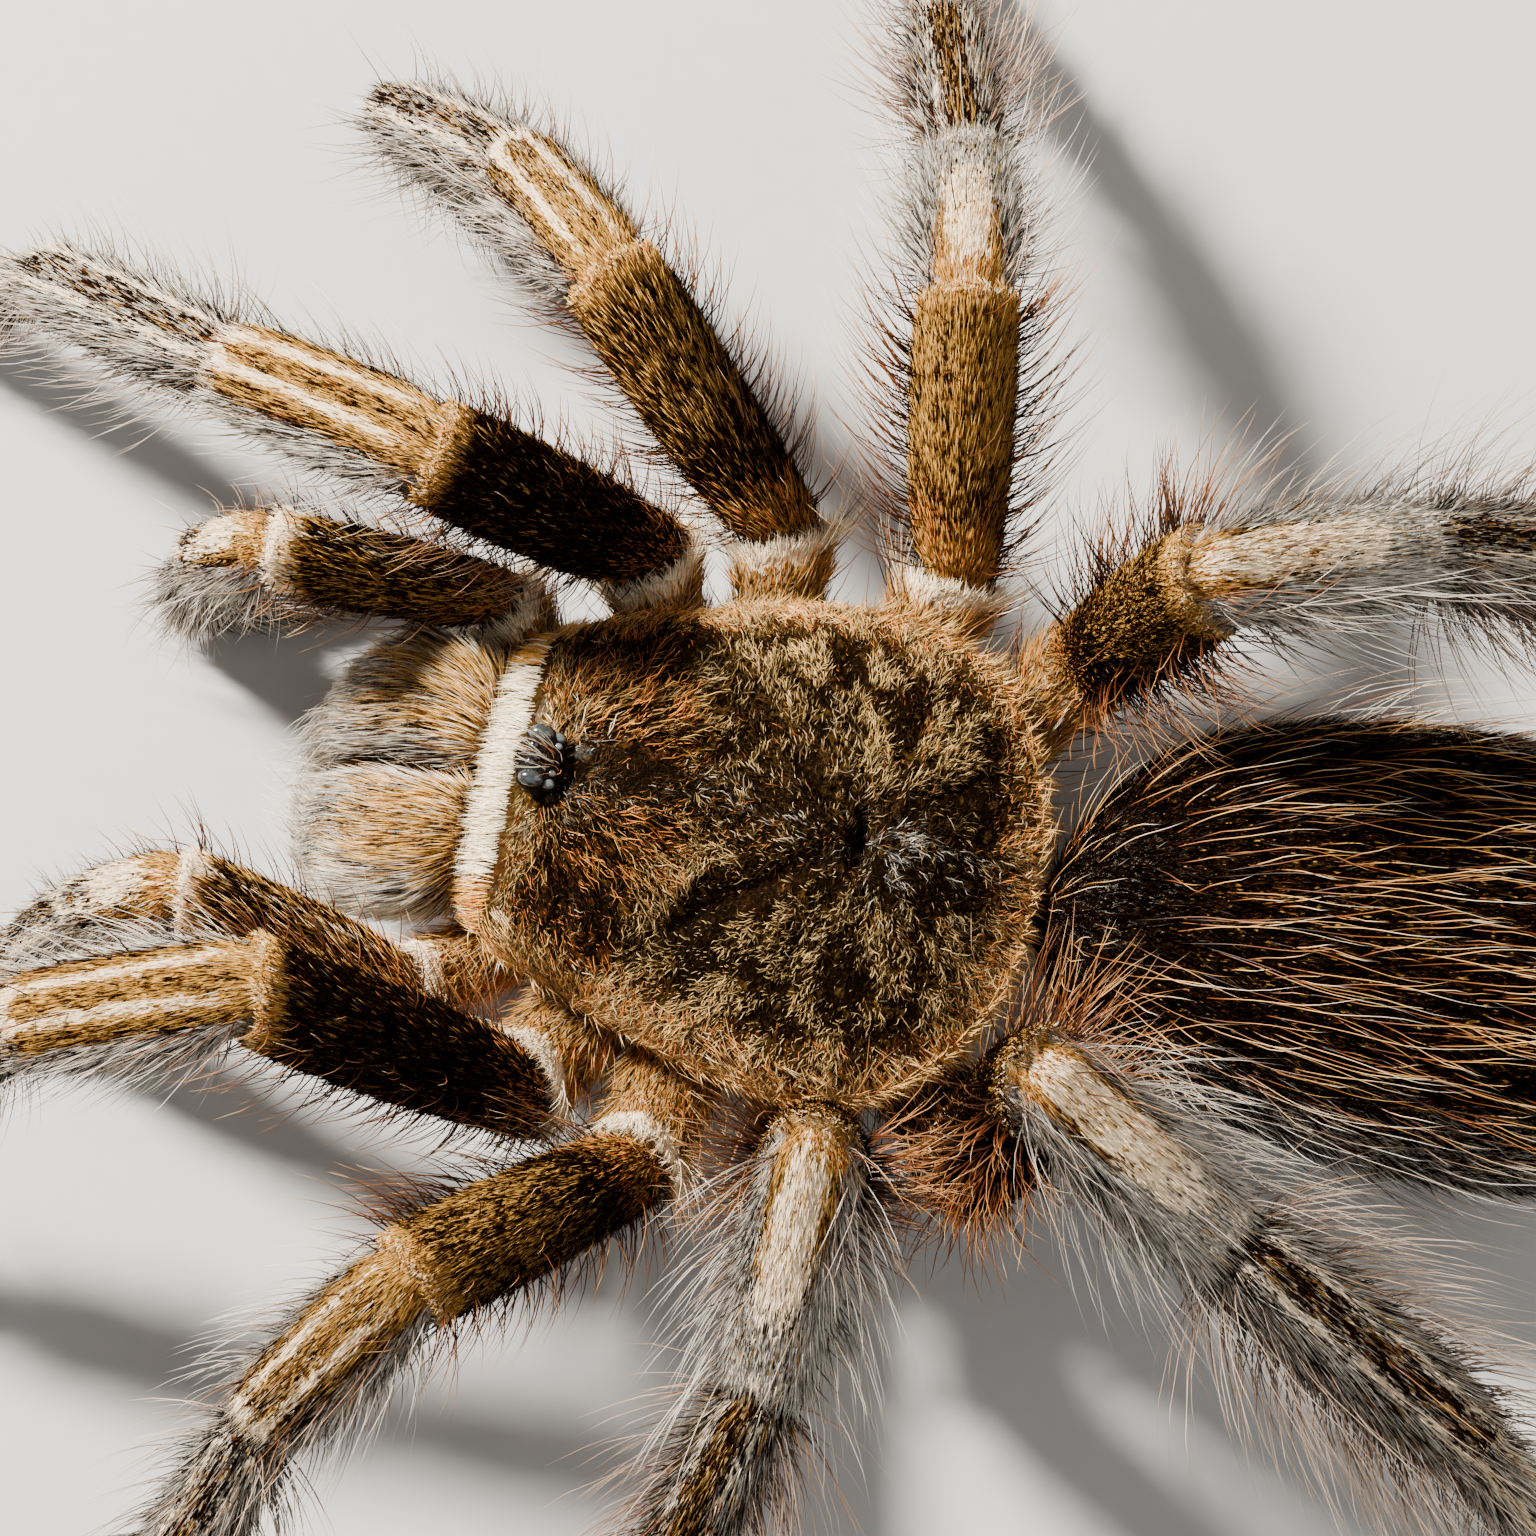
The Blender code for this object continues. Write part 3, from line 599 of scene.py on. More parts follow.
UMBER, UMBER_LIGHT = (0.0008, 0.0004, 0.0002, 1), (0.011, 0.0045, 0.0016, 1)
GOLD_DEEP, GOLD = (0.040, 0.014, 0.002, 1), (0.80, 0.43, 0.095, 1)
SILVER_DEEP, SILVER = (0.020, 0.015, 0.011, 1), (0.80, 0.72, 0.60, 1)
COPPER_DEEP, COPPER = (0.040, 0.009, 0.002, 1), (0.78, 0.27, 0.055, 1)
CREAM_DEEP, CREAM = (0.34, 0.16, 0.04, 1), (1.0, 0.86, 0.61, 1)
LOT_STEP = 0.37  # each mark draws its own lot, so that gold and silver hairs don't always fall together
LOT_SHARPNESS, LOT_LEAD = 9, 0.1  # how sharply a hair takes a mark or not, and how readily


def blended(bench, share, first, second):
    return bench.add("ShaderNodeMix", {"data_type": "RGBA"}, {"Factor": share, "A": first, "B": second}, "Result")


def coat_colour(bench, fate, shade, gold=(GOLD_DEEP, GOLD), ground=(UMBER, UMBER_LIGHT)):
    """The colour that the marks give. fate picks which hairs a mark takes; shade runs dark to light."""
    marks = bench.carried("marks", "Color")
    copper = marks.other_output("Alpha")
    split = bench.add("ShaderNodeSeparateColor", inputs={"Color": marks}, output="Red")
    tone = blended(bench, shade, *ground)
    layers = ((split.other_output("Green"), *gold, 0.0), (copper, COPPER_DEEP, COPPER, 0.0),
              (split.other_output("Blue"), SILVER_DEEP, SILVER, 0.05), (split, CREAM_DEEP, CREAM, 0.35))
    for turn, (share, deep, light, lift) in enumerate(layers):
        lot = (fate + LOT_STEP * turn).math("FRACT")
        taken = ((share - lot) * LOT_SHARPNESS + LOT_LEAD).clamped()
        tone = blended(bench, taken, tone, blended(bench, (shade * (1 - lift) + lift).clamped(), deep, light))
    return tone


def hide_material():
    bench = Finish("hide", 0.6, specular=0.0)
    grain = bench.carried("grain", "Vector")
    streak = bench.noise(grain.vector("MULTIPLY", (7.0, 7.0, 1.3)), 1.0, 3.0, Roughness=0.6)
    fine = bench.noise(grain.vector("MULTIPLY", (17.0, 17.0, 2.6)), 1.0, 2.0)
    fate = ((streak - 0.5) * 2.4 + 0.5).clamped()
    # the hide stays dark: partly its own dark colour and partly painted shade in the gaps under the coat
    shade = ((fine - 0.5) * 2.0 + 0.2).clamped()
    return bench.painted(coat_colour(bench, fate, shade), fine + 0.6 * streak, strength=0.7)


skin_mesh.materials.clear()
skin_mesh.materials.append(hide_material())
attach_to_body(skin, "root")
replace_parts(skin, *kind_of)


# ---- Coat of the limbs --------------------------------------------------------------------------
# Short stiff hairs lie along each limb towards its foot, thick enough to hide the hide. Each hair
# is a closed spike of real mesh, rooted just under the skin, and takes the mark it grows in.

HAIR_BAKE_PATCH = 0.003  # how much of the coat's UV map one hair takes up
ROOT_SINK = 0.05 * MM
LOWEST_HAIR = 0.03 * MM  # over the floor
CLUMP_STRETCH = (1.0, 1.0, 0.22)  # clumps run along the hairs' own lie, so that they read as streaks
WAVE_RUN = 8.0  # radians of a hair's wave, from root to tip
FULLNESS = 0.8  # a real bristle keeps its thickness and only then tapers, where a cone narrows evenly
HAIR_SIZES = {
    "Hairs per square metre": 1e7, "Length": 0.6 * MM, "Half thickness": 0.04 * MM, "Sections": 1,
    "Length spread": 0.35, "Stray": 0.3, "Extra rise": 0.0, "Rise spread": 0.12, "Bend forward": 0.0,
    "Bend down": 0.1, "Wave": 0.0, "Clumping": 0.5, "Clump size": 0.7 * MM, "Streaks": 0.3, "Seed": 1}


def hair_tree():
    """Geometry Nodes that sow hairs on a skin, lean them along its lie, and bend them."""
    tree = bpy.data.node_groups.new("hairs", "GeometryNodeTree")

    def socket(name, kind, way="INPUT"):
        return tree.interface.new_socket(name, in_out=way, socket_type="NodeSocket" + kind)

    socket("Geometry", "Geometry")
    for name, value in HAIR_SIZES.items():
        socket(name, "Int" if isinstance(value, int) else "Float").default_value = value
    socket("Material", "Material")
    socket("Geometry", "Geometry", "OUTPUT")
    bench = Bench(tree)
    entry = bench.add("NodeGroupInput")

    def given(name):
        return entry.other_output(name)

    def named(name, kind="FLOAT"):
        return bench.add("GeometryNodeInputNamedAttribute", {"data_type": kind}, {"Name": name}, "Attribute")

    def arrow(name):
        return named(name, "FLOAT_VECTOR")

    def drawn(low, high, turn):
        seed = given("Seed") * 17 + turn
        return bench.add("FunctionNodeRandomValue", {"data_type": "FLOAT"},
                         {"Min": low, "Max": high, "Seed": seed}, "Value")

    def kept(geometry, name, value, kind="FLOAT", domain="POINT"):
        return bench.add("GeometryNodeStoreNamedAttribute", {"data_type": kind, "domain": domain},
                         {"Geometry": geometry, "Name": name, "Value": value}, "Geometry")

    def moved(geometry, **by):
        return bench.add("GeometryNodeSetPosition", inputs={"Geometry": geometry, **by})

    def xyz(x, y, z):
        return bench.add("ShaderNodeCombineXYZ", inputs={"X": x, "Y": y, "Z": z})

    def height_of(place):
        return bench.add("ShaderNodeSeparateXYZ", inputs={"Vector": place}, output="Z")

    sown = bench.add("GeometryNodeDistributePointsOnFaces", {"distribute_method": "RANDOM"},
                     {"Mesh": given("Geometry"), "Density": given("Hairs per square metre") * named("dense"),
                      "Seed": given("Seed")}, "Points")
    normal = sown.other_output("Normal")
    place = bench.add("GeometryNodeInputPosition")
    clumps = bench.add("ShaderNodeTexNoise", {"noise_dimensions": "4D"},
                       {"Vector": arrow("grain").vector("MULTIPLY", CLUMP_STRETCH),
                        "W": given("Seed") * 3.1, "Scale": MM * given("Clump size").math("POWER", -1.0),
                        "Detail": 2.0}, "Fac")
    lie = arrow("lie")
    upright = normal.vector("SCALE", lie.vector("DOT_PRODUCT", normal, output="Value"))
    flat = lie.vector("SUBTRACT", upright).vector("NORMALIZE")
    yaw = (clumps - 0.5) * given("Clumping") * 3.0 + drawn(-1.0, 1.0, 1) * given("Stray")
    turned = bench.add("ShaderNodeVectorRotate", inputs={"Vector": flat, "Axis": normal, "Angle": yaw})
    rise = named("stand") + given("Extra rise") + drawn(-1.0, 1.0, 2) * given("Rise spread")
    aim = turned.vector("SCALE", rise.math("COSINE")).vector("ADD", normal.vector("SCALE", rise.math("SINE")))
    length = given("Length") * named("reach") * (drawn(-1.0, 1.0, 3) * given("Length spread") + 1.0)
    sway = turned.vector("SCALE", length * given("Bend forward")).vector(
        "SUBTRACT", normal.vector("SCALE", length * given("Bend down")))
    across = normal.vector("CROSS_PRODUCT", turned)
    # streaks give neighbours the same colour and brightness, where a lone draw would mix them
    streaks = given("Streaks")
    swell = (clumps - 0.5) * (streaks * 2.4 + 0.8)
    lone = 1.0 - streaks
    fate = (drawn(-0.5, 0.5, 4) * (lone * 0.8 + 0.1) + swell + 0.5).math("PINGPONG", 1.0)
    marked = kept(sown, "sway", sway, "FLOAT_VECTOR")
    marked = kept(marked, "ripple", across.vector("SCALE", length * given("Wave")), "FLOAT_VECTOR")
    marked = kept(marked, "phase", drawn(0.0, 6.28, 5))
    marked = kept(marked, "fate", fate)
    marked = kept(marked, "glow", (drawn(-0.5, 0.5, 6) * (lone * 0.7 + 0.3) + swell * 0.8 + 0.5).clamped())
    marked = moved(marked, Offset=normal.vector("SCALE", -ROOT_SINK))

    cone = bench.add("GeometryNodeMeshCone", {"fill_type": "NGON"},
                     {"Vertices": 3, "Side Segments": given("Sections"), "Radius Top": 0.0, "Radius Bottom": 1.0,
                      "Depth": 1.0}, "Mesh")
    spot = height_of(place)
    spike = kept(cone, "tip", spot)
    spike = kept(spike, "patch", xyz(spot.other_output("X") * 0.5, spot - 0.5, None), "FLOAT_VECTOR")
    fuller = xyz(spot.other_output("X"), spot.other_output("Y"), None)
    spike = moved(spike, Offset=fuller.vector("SCALE", spot * FULLNESS))

    turn = bench.add("FunctionNodeAlignRotationToVector", {"axis": "Z"}, {"Vector": aim})
    size = xyz(given("Half thickness"), given("Half thickness"), length)
    hairs = bench.add("GeometryNodeInstanceOnPoints",
                      inputs={"Points": marked, "Instance": spike, "Rotation": turn, "Scale": size})
    hairs = bench.add("GeometryNodeRealizeInstances", inputs={"Geometry": hairs})
    tip = named("tip")
    swing = (tip * WAVE_RUN + named("phase")).math("SINE") * tip
    bent = arrow("sway").vector("SCALE", tip * tip).vector("ADD", arrow("ripple").vector("SCALE", swing))
    hairs = moved(hairs, Offset=bent)
    height = height_of(place)
    above_floor = height.math("MAXIMUM", LOWEST_HAIR)
    hairs = moved(hairs, Position=xyz(height.other_output("X"), height.other_output("Y"), above_floor))
    spread = arrow("plan").vector("ADD", arrow("patch").vector("SCALE", HAIR_BAKE_PATCH))
    hairs = kept(hairs, "OFBake", spread, "FLOAT2", "CORNER")
    for spent in ("plan", "patch", "sway", "ripple", "phase", "lie", "dense", "reach", "stand", "grain"):
        hairs = bench.add("GeometryNodeRemoveAttribute", inputs={"Geometry": hairs, "Name": spent})
    hairs = bench.add("GeometryNodeSetShadeSmooth", inputs={"Geometry": hairs})
    hairs = bench.add("GeometryNodeSetMaterial", inputs={"Geometry": hairs, "Material": given("Material")})
    exit_node = tree.nodes.new("NodeGroupOutput")
    tree.links.new(hairs.output, exit_node.inputs[0])
    return tree


HAIRS = hair_tree()


def hair_material(name, root_shade=0.3, tip_shade=1.25, darkest=0.1, gold=(GOLD_DEEP, GOLD),
                  ground=(UMBER, UMBER_LIGHT)):
    """Hair of the coat: dark at its root and lighter towards its tip, in its mark's colour. The dark roots are partly
    painted shade down in the coat, and the light tips partly painted highlight.
    """
    bench = Finish(name, 0.6, specular=0.0)
    fate, glow, tip = (bench.carried(key) for key in ("fate", "glow", "tip"))
    shade = ((tip * (tip_shade - root_shade) + root_shade) * (glow * (1.25 - darkest) + darkest)).clamped()
    return bench.painted(coat_colour(bench, fate, shade, gold, ground))


def for_each(values, many):
    """A row for each of many corners, where one may be given for them all."""
    values = np.asarray(values, float)
    return values if values.shape[:1] == (many,) else np.tile(values, (many,) + (1,) * values.ndim)


def seedbed(points, faces, data):
    """The stretch of skin that a coat grows from, unwrapped on its own shape."""
    used, numbered = np.unique(faces, return_inverse=True)
    mesh = bpy.data.meshes.new("seedbed")
    mesh.from_pydata(points[used].tolist(), [], numbered.reshape(-1, 3).tolist())
    attach(mesh, {key: for_each(values, len(points))[used] for key, values in data.items()})
    bed = placed("seedbed", mesh)
    bpy.ops.object.select_all(action="DESELECT")
    bpy.context.view_layer.objects.active = bed
    bed.select_set(True)
    bpy.ops.object.mode_set(mode="EDIT")
    bpy.ops.mesh.select_all(action="SELECT")
    bpy.ops.uv.smart_project(angle_limit=1.15, island_margin=0.004, scale_to_bounds=True)
    bpy.ops.object.mode_set(mode="OBJECT")
    mesh.uv_layers[0].name = "plan"
    return bed


def grow(bed, name, material, slot, per_mm2, length, half_thickness, **sizes):
    """Grows one piece of coat on a seedbed. The length and half thickness are in mm, and further
    sizes are the tree's own inputs, with _ for spaces."""
    growth = bed.modifiers.new("hairs", "NODES")
    growth.node_group = HAIRS
    sockets = {s.name: s.identifier for s in HAIRS.interface.items_tree if s.in_out == "INPUT"}
    growth[sockets["Material"]] = material
    sizes.update(Hairs_per_square_metre=per_mm2 * 1e6, Length=length * MM, Half_thickness=half_thickness * MM)
    for key, value in sizes.items():
        growth[sockets[key.replace("_", " ")]] = value
    coat = frozen(bed, name)
    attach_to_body(coat, "root")


skin_faces = triangles_of(skin_mesh)
face_owner = skin_owner[skin_faces[:, 0]]
number_of = {name: k for k, name in enumerate(piece_names)}
short_hair = hair_material("short_hair")


def skin_bed(pieces, where=None, **changes):
    """A seedbed from the skin of the named pieces, or only where a test of its corners holds."""
    chosen = np.isin(face_owner, [number_of[p] for p in pieces])
    if where is not None:
        chosen &= where[skin_faces].all(axis=1)
    return seedbed(skin_points, skin_faces[chosen], {**skin_data, **changes})


# the back is denser than the sides and the underside
back_share = 0.62 + 0.38 * eased(skin_normals[:, 2], -0.3, 0.5)
for n, limb in enumerate(LIMBS):
    bed = skin_bed([f"{limb}_{piece}" for piece in LIMB_PIECES[1:]], dense=skin_data["dense"] * back_share)
    grow(bed, f"coat_{limb}", short_hair, "brown_fur", 33, 0.9, 0.033, Sections=1, Stray=0.1, Rise_spread=0.12,
         Clumping=0.15, Clump_size=0.25 * MM, Streaks=0.6, Seed=11 + n)


# ---- Bristles of the limbs ----------------------------------------------------------------------
# Long curved bristles stand out from the flanks of every limb and bend towards the foot. They are
# copper to dark at the root and pale at the tip, and longest on the two hind pairs of legs.

BRISTLE_STAND = {"coxa": 55, "femur": 66, "patella": 56, "tibia": 58, "foot": 50}  # degrees
BRISTLE_REACH = {"coxa": 0.7, "femur": 0.95, "patella": 0.9, "tibia": 1.05, "foot": 0.8}
BRISTLE_SHARE = {"coxa": 0.25, "femur": 0.75, "patella": 0.8, "tibia": 1.1, "foot": 0.95}
BRISTLE_LENGTH = {"palp": 2.1, "1": 2.6, "2": 2.9, "3": 3.7, "4": 4.1}  # mm, by limb
BRISTLES_PER_MM2 = {"palp": 3.3, "1": 3.4, "2": 4.0, "3": 4.9, "4": 4.9}


def long_hair_material(name, ramp_of, greyness_of, warm, pale):
    """Long hair, warm or, where the marks say so, grey. Each colour is a ramp from dark root to pale tip."""
    bench = Finish(name, 0.4, specular=0.3)
    tip, glow = bench.carried("tip"), bench.carried("glow")
    grey = bench.add("ShaderNodeSeparateColor", inputs={"Color": bench.carried("marks", "Color")}, output="Blue")
    ramp = ramp_of(tip, glow).clamped()
    warm, pale = (bench.add("ShaderNodeValToRGB", {"stops": stops}, {"Fac": ramp}, "Color") for stops in (warm, pale))
    return bench.painted(blended(bench, greyness_of(grey, glow).clamped(), warm, pale))


bristle = long_hair_material(
    "bristles", lambda tip, glow: tip * 0.9 + glow * 0.45 - 0.2, lambda grey, glow: grey * 2.2 - 0.3,
    warm=((0.0, (0.006, 0.002, 0.001, 1)), (0.4, (0.12, 0.030, 0.005, 1)), (0.75, (0.50, 0.21, 0.06, 1)),
          (1.0, (0.92, 0.64, 0.32, 1))),
    pale=((0.0, (0.03, 0.022, 0.016, 1)), (0.3, (0.20, 0.16, 0.12, 1)), (0.65, (0.60, 0.52, 0.42, 1)),
          (1.0, (0.92, 0.88, 0.80, 1))))
side_of = np.abs(skin_angle)
flanks = eased(side_of, 38, 62) * eased(side_of, 165, 120) + 0.06
# skin close to the floor keeps few and short bristles
off_floor = 0.35 + 0.65 * eased(skin_points[:, 2] / MM, 0.8, 3.0)
for n, limb in enumerate(LIMBS):
    sort = "palp" if limb.startswith("palp") else limb[-1]
    bed = skin_bed([f"{limb}_{piece}" for piece in LIMB_PIECES], dense=by_kind(BRISTLE_SHARE) * flanks * off_floor,
                   reach=by_kind(BRISTLE_REACH) * off_floor, stand=np.radians(by_kind(BRISTLE_STAND)))
    grow(bed, f"bristles_{limb}", bristle, "brown_fur", BRISTLES_PER_MM2[sort], BRISTLE_LENGTH[sort], 0.036,
         Sections=4, Length_spread=0.45, Stray=0.35, Rise_spread=0.25, Bend_forward=0.6, Bend_down=0.12, Wave=0.02,
         Clumping=0.15, Seed=41 + n)


# ---- Hips and underside -------------------------------------------------------------------------
# The first joint of each limb wears pale crescents of longer hair where the thigh turns in it. The
# breast plate and the mouth parts under the body are felted with short dark hair.

hips = [f"{limb}_coxa" for limb in LIMBS]
grow(skin_bed(hips), "coat_hips", short_hair, "brown_fur", 23, 1.4, 0.036, Stray=0.3, Rise_spread=0.25,
     Clumping=1.1, Clump_size=0.6 * MM, Streaks=0.6, Seed=71)
band_hair = hair_material("band_hair", root_shade=0.75, tip_shade=1.6, darkest=0.75)
crescent = eased(np.abs(skin_far - 0.45), 0.62, 0.4) * eased(side_of, 140, 105)
at_sides = eased(np.abs(side_of - 88), 50, 25)
crescents = {"pieces": [hip for hip in hips if not hip.endswith("4_coxa")], "where": crescent > 0.05,
             "marks": (1.6, 0.4, 0.6, 0.1), "reach": 1, "stand": math.radians(22)}
grow(skin_bed(**crescents, dense=crescent), "crescents_hips", band_hair, "brown_fur", 90, 0.6, 0.03, Stray=0.25,
     Rise_spread=0.15, Clumping=0.6, Clump_size=0.6 * MM, Seed=72)
grow(skin_bed(**crescents, dense=crescent * at_sides), "fringe_hips", band_hair, "brown_fur", 14, 1.9, 0.03,
     Sections=4, Stray=0.4, Extra_rise=0.35, Rise_spread=0.3, Bend_forward=0.5, Bend_down=0.15, Clumping=0.6,
     Clump_size=0.8 * MM, Seed=74)
grow(skin_bed(["sternum"]), "coat_underside", short_hair, "sternum_fur", 20, 0.8, 0.036, Stray=0.3, Seed=73)


# ---- Jaws ---------------------------------------------------------------------------------------
# The two thick basal joints of the jaws are combed forwards with fine silver hair, golden where
# they meet the shield, and end in a brush of longer pale bristles over the fangs.

jaws = ["chelicera_left", "chelicera_right"]
jaw_hair = hair_material("jaw_hair", root_shade=0.25, tip_shade=1.55, darkest=0.16)
grow(skin_bed(jaws), "coat_jaws", jaw_hair, "silver_fur", 46, 1.2, 0.03, Stray=0.12, Rise_spread=0.1,
     Clumping=0.35, Clump_size=0.6 * MM, Streaks=0.45, Seed=81)
bed = skin_bed(jaws, dense=eased(skin_far, 4.5, 1.0) + 0.12, stand=math.radians(30),
               reach=0.75 + 0.35 * eased(skin_far, 4, 0.5))
grow(bed, "bristles_jaws", bristle, "silver_fur", 5.5, 2.2, 0.032, Sections=5, Length_spread=0.4, Stray=0.4,
     Rise_spread=0.3, Bend_forward=0.2, Bend_down=0.25, Clumping=0.4, Seed=82)


# ---- Shield -------------------------------------------------------------------------------------
# The hard shield over the front of the body: a raised head, a slit-shaped pit behind it, and
# shallow furrows that run out from the pit. A thin fleece of curled golden hair hides the shell.

SHIELD_DEPTH = 0.22  # mm, of its fleece
SHIELD_WIDEST = 12.8 - SHIELD_DEPTH
SHIELD_HALF_WIDTH = 10.3 - SHIELD_DEPTH
SHIELD_STATIONS, SHIELD_STEPS = 90, 90
SHIELD_UNDERSIDE = (0.92, 0.46, 0, -0.46, -0.92)  # where its corners lie, in half widths
PIT_AT = 14.4  # mm behind the front edge
shield_length = (shield_high.y - shield_low.y) / MM - 2 * SHIELD_DEPTH
shield_front = shield_low.y / MM + SHIELD_DEPTH
shield_x = (shield_low.x + shield_high.x) / 2 / MM
shield_rim = shield_low.z / MM + 0.5
FURROWS = ((40, 0.3), (74, 0.1), (104, 0.1), (137, 0.12))  # degrees from straight ahead, and depth


def shield_outline(behind):
    """Half width, in mm, this far behind the front edge."""
    if behind > SHIELD_WIDEST:
        share = (behind - SHIELD_WIDEST) / (shield_length + 0.15 - SHIELD_WIDEST)
        return SHIELD_HALF_WIDTH * math.sqrt(max(0.0, 1 - share ** 2.5))
    ahead = (SHIELD_WIDEST - behind) / SHIELD_WIDEST
    return SHIELD_HALF_WIDTH - 3.9 * ahead**1.35 - 0.7 * max(0.0, (ahead - 0.9) / 0.1) ** 2


def shield_height(behind):
    """Height of the midline over the rim, in mm."""
    run = behind / shield_length
    head = math.exp(-(((run - 0.27) / 0.22) ** 2))
    front = 2.3 + min(1.0, run / 0.14)
    return (front + head) * (1 - 0.93 * max(0.0, (run - 0.5) / 0.5) ** 2.2) - SHIELD_DEPTH


plate = bmesh.new()
rings = []
for k in range(SHIELD_STATIONS + 1):
    behind = shield_length * (1 - math.cos(math.pi * k / SHIELD_STATIONS)) / 2
    half, height = shield_outline(behind), shield_height(behind)
    boxy = 0.62 + 0.3 * min(1.0, behind / 14)
    leans = [math.pi * (step / SHIELD_STEPS - 0.5) for step in range(SHIELD_STEPS + 1)]
    ring = [(half * math.sin(lean), height * max(0.0, math.cos(lean)) ** boxy) for lean in leans]
    ring += [(half * share, -0.45) for share in SHIELD_UNDERSIDE]
    rings.append([plate.verts.new(Vector((shield_x + x, shield_front + behind, shield_rim + z)) * MM)
                  for x, z in ring])
for before, after in zip(rings[:-1], rings[1:]):
    for k in range(len(before)):
        plate.faces.new((before[k - 1], before[k], after[k], after[k - 1]))
plate.faces.new(rings[0][::-1])
plate.faces.new(rings[-1])
bmesh.ops.recalc_face_normals(plate, faces=plate.faces)
shield = fused(plate, "shield", 0.22 * MM, 0.5)


def patches(places, seed):
    """Smooth random patches, 0 to 1, about as wide as one unit of the places."""
    lattice = np.random.default_rng(seed).random((32, 32, 32))
    low = np.floor(places).astype(int)
    share = places - low
    share = share * share * (3 - 2 * share)
    total = np.zeros(len(places))
    for corner in np.ndindex(2, 2, 2):
        total += np.where(corner, share, 1 - share).prod(axis=1) * lattice[tuple(((low + corner) % 32).T)]
    return total


def shield_places(points):
    """(across, behind the front edge, from the pit, bearing from straight ahead) in mm and degrees."""
    across, behind = points[:, 0] / MM - shield_x, points[:, 1] / MM - shield_front
    bearing = np.degrees(np.arctan2(np.abs(across), PIT_AT - behind))
    return across, behind, np.hypot(across, behind - PIT_AT), bearing


def off_course(course):
    """How far each point lies beside a furrow's line, in mm."""
    return away * np.sin(np.radians(np.clip(bearing - course, -90, 90)))


points, normals = vertices_and_normals(shield.data)
across, behind, away, bearing = shield_places(points)
upward = eased(normals[:, 2], 0.1, 0.5)
sunk = 0.85 * np.exp(-((behind - PIT_AT - 0.06 * across**2) / 0.42) ** 2 - (across / 1.35) ** 4)
for course, depth in FURROWS:
    sunk += depth * np.exp(-((off_course(course) / 0.5) ** 2)) * eased(away, 0.8, 2.0) * eased(away, 9.5, 7.0)
sunk -= 0.1 * np.exp(-((away - 2.6) / 1.2) ** 2)
points, normals = pressed_in(shield.data, points, normals, sunk * upward)
across, behind, away, bearing = shield_places(points)
width_here = np.array([shield_outline(min(max(b, 0.0), shield_length)) for b in behind])
rim_gap = np.minimum(width_here - np.abs(across), shield_length - behind)
# the regions of the fleece, each 0 to 1
rim = eased(rim_gap, 2.4, 0.5)
fan = eased(np.abs(across), 0.7, 1.5) * eased(np.abs(across), 5.0, 3.4) * eased(behind, 8.6, 6.2)
corner = eased(np.abs(across), 3.4, 5.0) * eased(behind, 7.4, 4.6)
saddle = np.exp(-((across / 1.5) ** 2)) * eased(behind, 2.6, 3.6)
ash = np.exp(-((across / 1.7) ** 2) - ((behind - PIT_AT - 1.5) / 0.95) ** 2)
# furrow darkens the fleece along each furrow, the deeper ones more: painted shade in the grooves. It also thins the
# hair there.
furrow = np.zeros(len(points))
for course, depth in FURROWS:
    shading = 3 * depth * np.exp(-((off_course(course) / 0.8) ** 2))
    furrow = np.maximum(furrow, shading * eased(away, 0.6, 2.2) * eased(rim_gap, 0.8, 2.0))
tubercle_low, tubercle_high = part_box("eye_tubercle")
mound_x = (tubercle_low.x + tubercle_high.x) / 2 / MM - shield_x
mound_behind = (tubercle_low.y + tubercle_high.y) / 2 / MM - shield_front
on_mound = eased(np.hypot((across - mound_x) / 1.3, (behind - mound_behind + 0.12) / 0.95), 1.0, 0.85)
spots = eased(np.hypot(np.abs(across) - 0.85, behind - mound_behind - 1.35), 0.55, 0.3)
# tufts run out from the pit, so their pattern is drawn in its distance and bearing
around = np.radians(bearing) * np.sign(across) * 6
out_from_pit = np.stack([away * 0.55, around, 0 * away], axis=1)
tuft = eased(0.62 * patches(out_from_pit / 0.62, 3) + 0.38 * patches(out_from_pit / 0.36, 4), 0.36, 0.64)
wide_patch = eased(patches(out_from_pit / 2.4, 5), 0.3, 0.75)
ashen = eased(patches(out_from_pit / 1.1, 6), 0.55, 0.85) * eased(away, 6.5, 3.0)
golden = 0.34 + 0.34 * tuft * (0.6 + 0.6 * wide_patch) + 0.1 * eased(away, 5.5, 9.0) * (1 - on_mound)
near_eyes = eased(np.hypot(across, behind - mound_behind), 4.2, 1.8)
cream = 0.1 * ash * tuft + 0.1 * rim + 0.2 * fan * near_eyes + 0.03 * eased(tuft, 0.75, 1.0)
# the gold thins along the furrows: painted shade in the grooves
gold = (golden * (1 - 0.5 * furrow) * (1 - 0.8 * corner) * (1 - 0.55 * saddle) * (1 - 0.5 * fan) + 0.12 * fan
        + 0.3 * rim + 0.5 * eased(behind, 2.1, 1.5))
silver = 0.32 * ash * (0.4 + 0.6 * tuft) + (0.14 * saddle + 0.08 * ashen) * tuft + 0.35 * spots
copper = 0.02 + 0.34 * fan * (1 - 0.6 * near_eyes) + 0.5 * rim + 0.1 * corner + 0.05 * wide_patch * (1 - fan)
head_lie = np.stack([1.15 * across, behind - 0.6, 0 * across], axis=1)
thorax_lie = np.stack([across, behind - PIT_AT, 0 * across], axis=1)
on_head = eased(behind, 10.5, 6.5) * eased(bearing, 50, 30)
shell_lie = unit(unit(head_lie) * on_head[:, None] + unit(thorax_lie) * (1 - on_head)[:, None] + [1e-4, 2e-4, 0])
